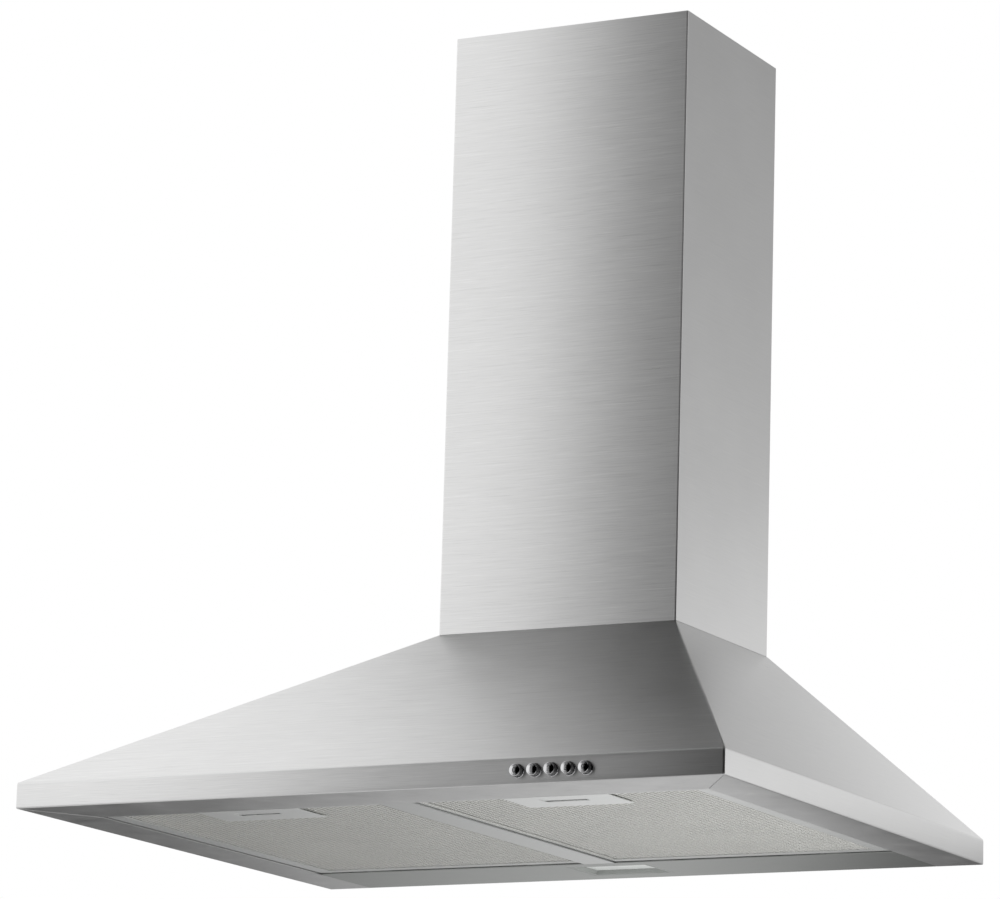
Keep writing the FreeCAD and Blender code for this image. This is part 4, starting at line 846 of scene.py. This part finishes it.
def studioCard(name, corners, axis, shades, again=None):
    # a card out of the picture, seen only in the metal; its shade follows one axis through pairs of
    # (metres, shade), with pairs of its own where metal mirrors it second-hand in other metal
    mesh = arrayMesh(name, np.array(corners, float), np.array([[0, 1, 2, 3]]))
    card = bpy.data.objects.new(name, mesh)
    bpy.context.scene.collection.objects.link(card)
    felt = Surface(name, Roughness=1.0, Specular_IOR_Level=0.0, Emission_Strength=1.0)
    felt.finish((0.0, 0.0, 0.0, 1))
    split = felt.node("ShaderNodeSeparateXYZ", {}, {"Vector": felt.place()}, axis)

    def ramp(pairs):
        first, last = pairs[0][0], pairs[-1][0]
        stops = [((place - first) / (last - first), shade) for place, shade in pairs]
        return felt.node("ShaderNodeValToRGB", {"stops": stops}, {"Fac": (split - first) / (last - first)})

    shade = ramp(shades)
    if again:
        later = felt.node("ShaderNodeLightPath", {}, {}, "Glossy Depth") > studio["secondHand"]
        shade = felt.node("ShaderNodeMix", {"data_type": "RGBA"}, {0: later, 6: shade, 7: ramp(again)}, 2)
    felt.put(felt.shader.inputs["Emission Color"], shade)
    mesh.materials.append(felt.material)
    card.visible_camera = card.visible_shadow = card.visible_diffuse = False


def uprightCard(x0, x1, y, z0, z1):
    return [(x0, y, z0), (x1, y, z0), (x1, y, z1), (x0, y, z1)]


# cards in front for the chimney and the lip, behind for the slope, the underside and the faces to the right,
# and one at the right for the bends
studioCards = (
    ("cardChimney", uprightCard(-1.2, 1.6, -1.0, 0.34, 1.6), "X",
     ((-1.2, 1.0), (-0.56, 1.0), (-0.50, 0.96), (-0.43, 0.77), (-0.37, 0.51), (-0.32, 0.34), (-0.28, 0.25),
      (-0.22, 0.18), (1.6, 0.12)),
     ((-1.2, 0.22), (-0.72, 0.30), (-0.63, 0.62), (-0.58, 0.30), (-0.53, 0.06), (-0.49, 0.0), (1.6, 0.0))),
    ("cardLip", uprightCard(-1.2, 1.6, -1.8, -1.28, 1.0), "X",
     ((-1.2, 1.0), (-0.98, 0.92), (-0.86, 0.70), (-0.76, 0.40), (-0.66, 0.25), (-0.55, 0.31), (-0.45, 0.30),
      (-0.40, 0.25), (-0.34, 0.22), (-0.28, 0.08), (-0.2, 0.0), (1.6, 0.0)),
     ((-1.2, 0.3), (-0.6, 0.1), (1.6, 0.0))),
    ("cardAbove", [(-1.5, -1.6, 2.0), (1.6, -1.6, 2.0), (1.6, 1.2, 2.0), (-1.5, 1.2, 2.0)], "X",
     ((-1.5, 1.0), (-1.1, 0.9), (-0.8, 0.4), (-0.6, 0.1), (1.6, 0.0))),
    ("cardSlope", uprightCard(-0.85, 0.13, 0.25, 0.385, 2.0), "X",
     ((-0.85, 1.0), (-0.62, 0.92), (-0.52, 0.74), (-0.43, 0.52), (-0.34, 0.22), (-0.26, 0.03), (0.13, 0.0))),
    ("cardRight", uprightCard(-0.06, 1.6, 0.5, 0.06, 2.0), "Z",
     ((0.06, 0.84), (0.24, 0.80), (0.33, 0.68), (0.43, 0.52), (0.62, 0.46), (0.85, 0.38), (2.0, 0.30))),
    ("cardUnder", uprightCard(-1.0, 0.6, 0.26, -0.95, 0.05), "X",
     ((-1.0, 0.04), (-0.74, 0.06), (-0.60, 0.16), (-0.48, 0.32), (-0.30, 0.48), (-0.13, 0.60), (0.00, 0.44),
      (0.12, 0.18), (0.22, 0.08), (0.32, 0.20), (0.42, 0.45), (0.6, 0.5))),
    ("cardBend", [(1.3, -1.6, -0.6), (1.3, -0.1, -0.6), (1.3, -0.1, 1.8), (1.3, -1.6, 1.8)], "Y",
     ((-1.6, 0.0), (-0.1, 0.0))),
)


def backdropWorld():
    # white where the eye, metal or glass looks, dark where metal mirrors metal, and a plain fill elsewhere
    world = bpy.data.worlds.new("Studio")
    bpy.context.scene.world = world
    world.use_nodes = True
    room = NodeTree(world.node_tree)
    room.tree.nodes.clear()

    def ray(kind):
        return room.node("ShaderNodeLightPath", {}, {}, kind)

    clear = ray("Is Camera Ray") | ray("Is Glossy Ray") | ray("Is Transmission Ray")
    shown = 1 - (ray("Glossy Depth") > studio["secondHand"]) * (1 - studio["again"])
    white = room.node("ShaderNodeBackground", {}, {"Color": (1, 1, 1, 1), "Strength": shown})
    fill = room.node("ShaderNodeBackground", {}, {"Color": (1, 1, 1, 1), "Strength": studio["fill"]})
    mix = room.node("ShaderNodeMixShader", {}, {0: clear, 1: fill, 2: white})
    room.node("ShaderNodeOutputWorld", {}, {"Surface": mix}, None)


def makeFloor():
    half, level = studio["floorHalf"], studio["floorLevel"]
    corners = [(-half, -half, level), (half, -half, level), (half, half, level), (-half, half, level)]
    mesh = arrayMesh("floor", np.array(corners), np.array([[0, 1, 2, 3]]))
    floor = bpy.data.objects.new("floor", mesh)
    bpy.context.scene.collection.objects.link(floor)
    pale = Surface("paleFloor", Roughness=studio["floorRough"])
    pale.finish(studio["floorShade"])
    mesh.materials.append(pale.material)


makeCamera()
backdropWorld()
makeFloor()
for box in softboxes:
    softbox(*box)
for card in studioCards:
    studioCard(*card)
print("studio made")

bpy.context.scene.view_settings.view_transform = "Standard"
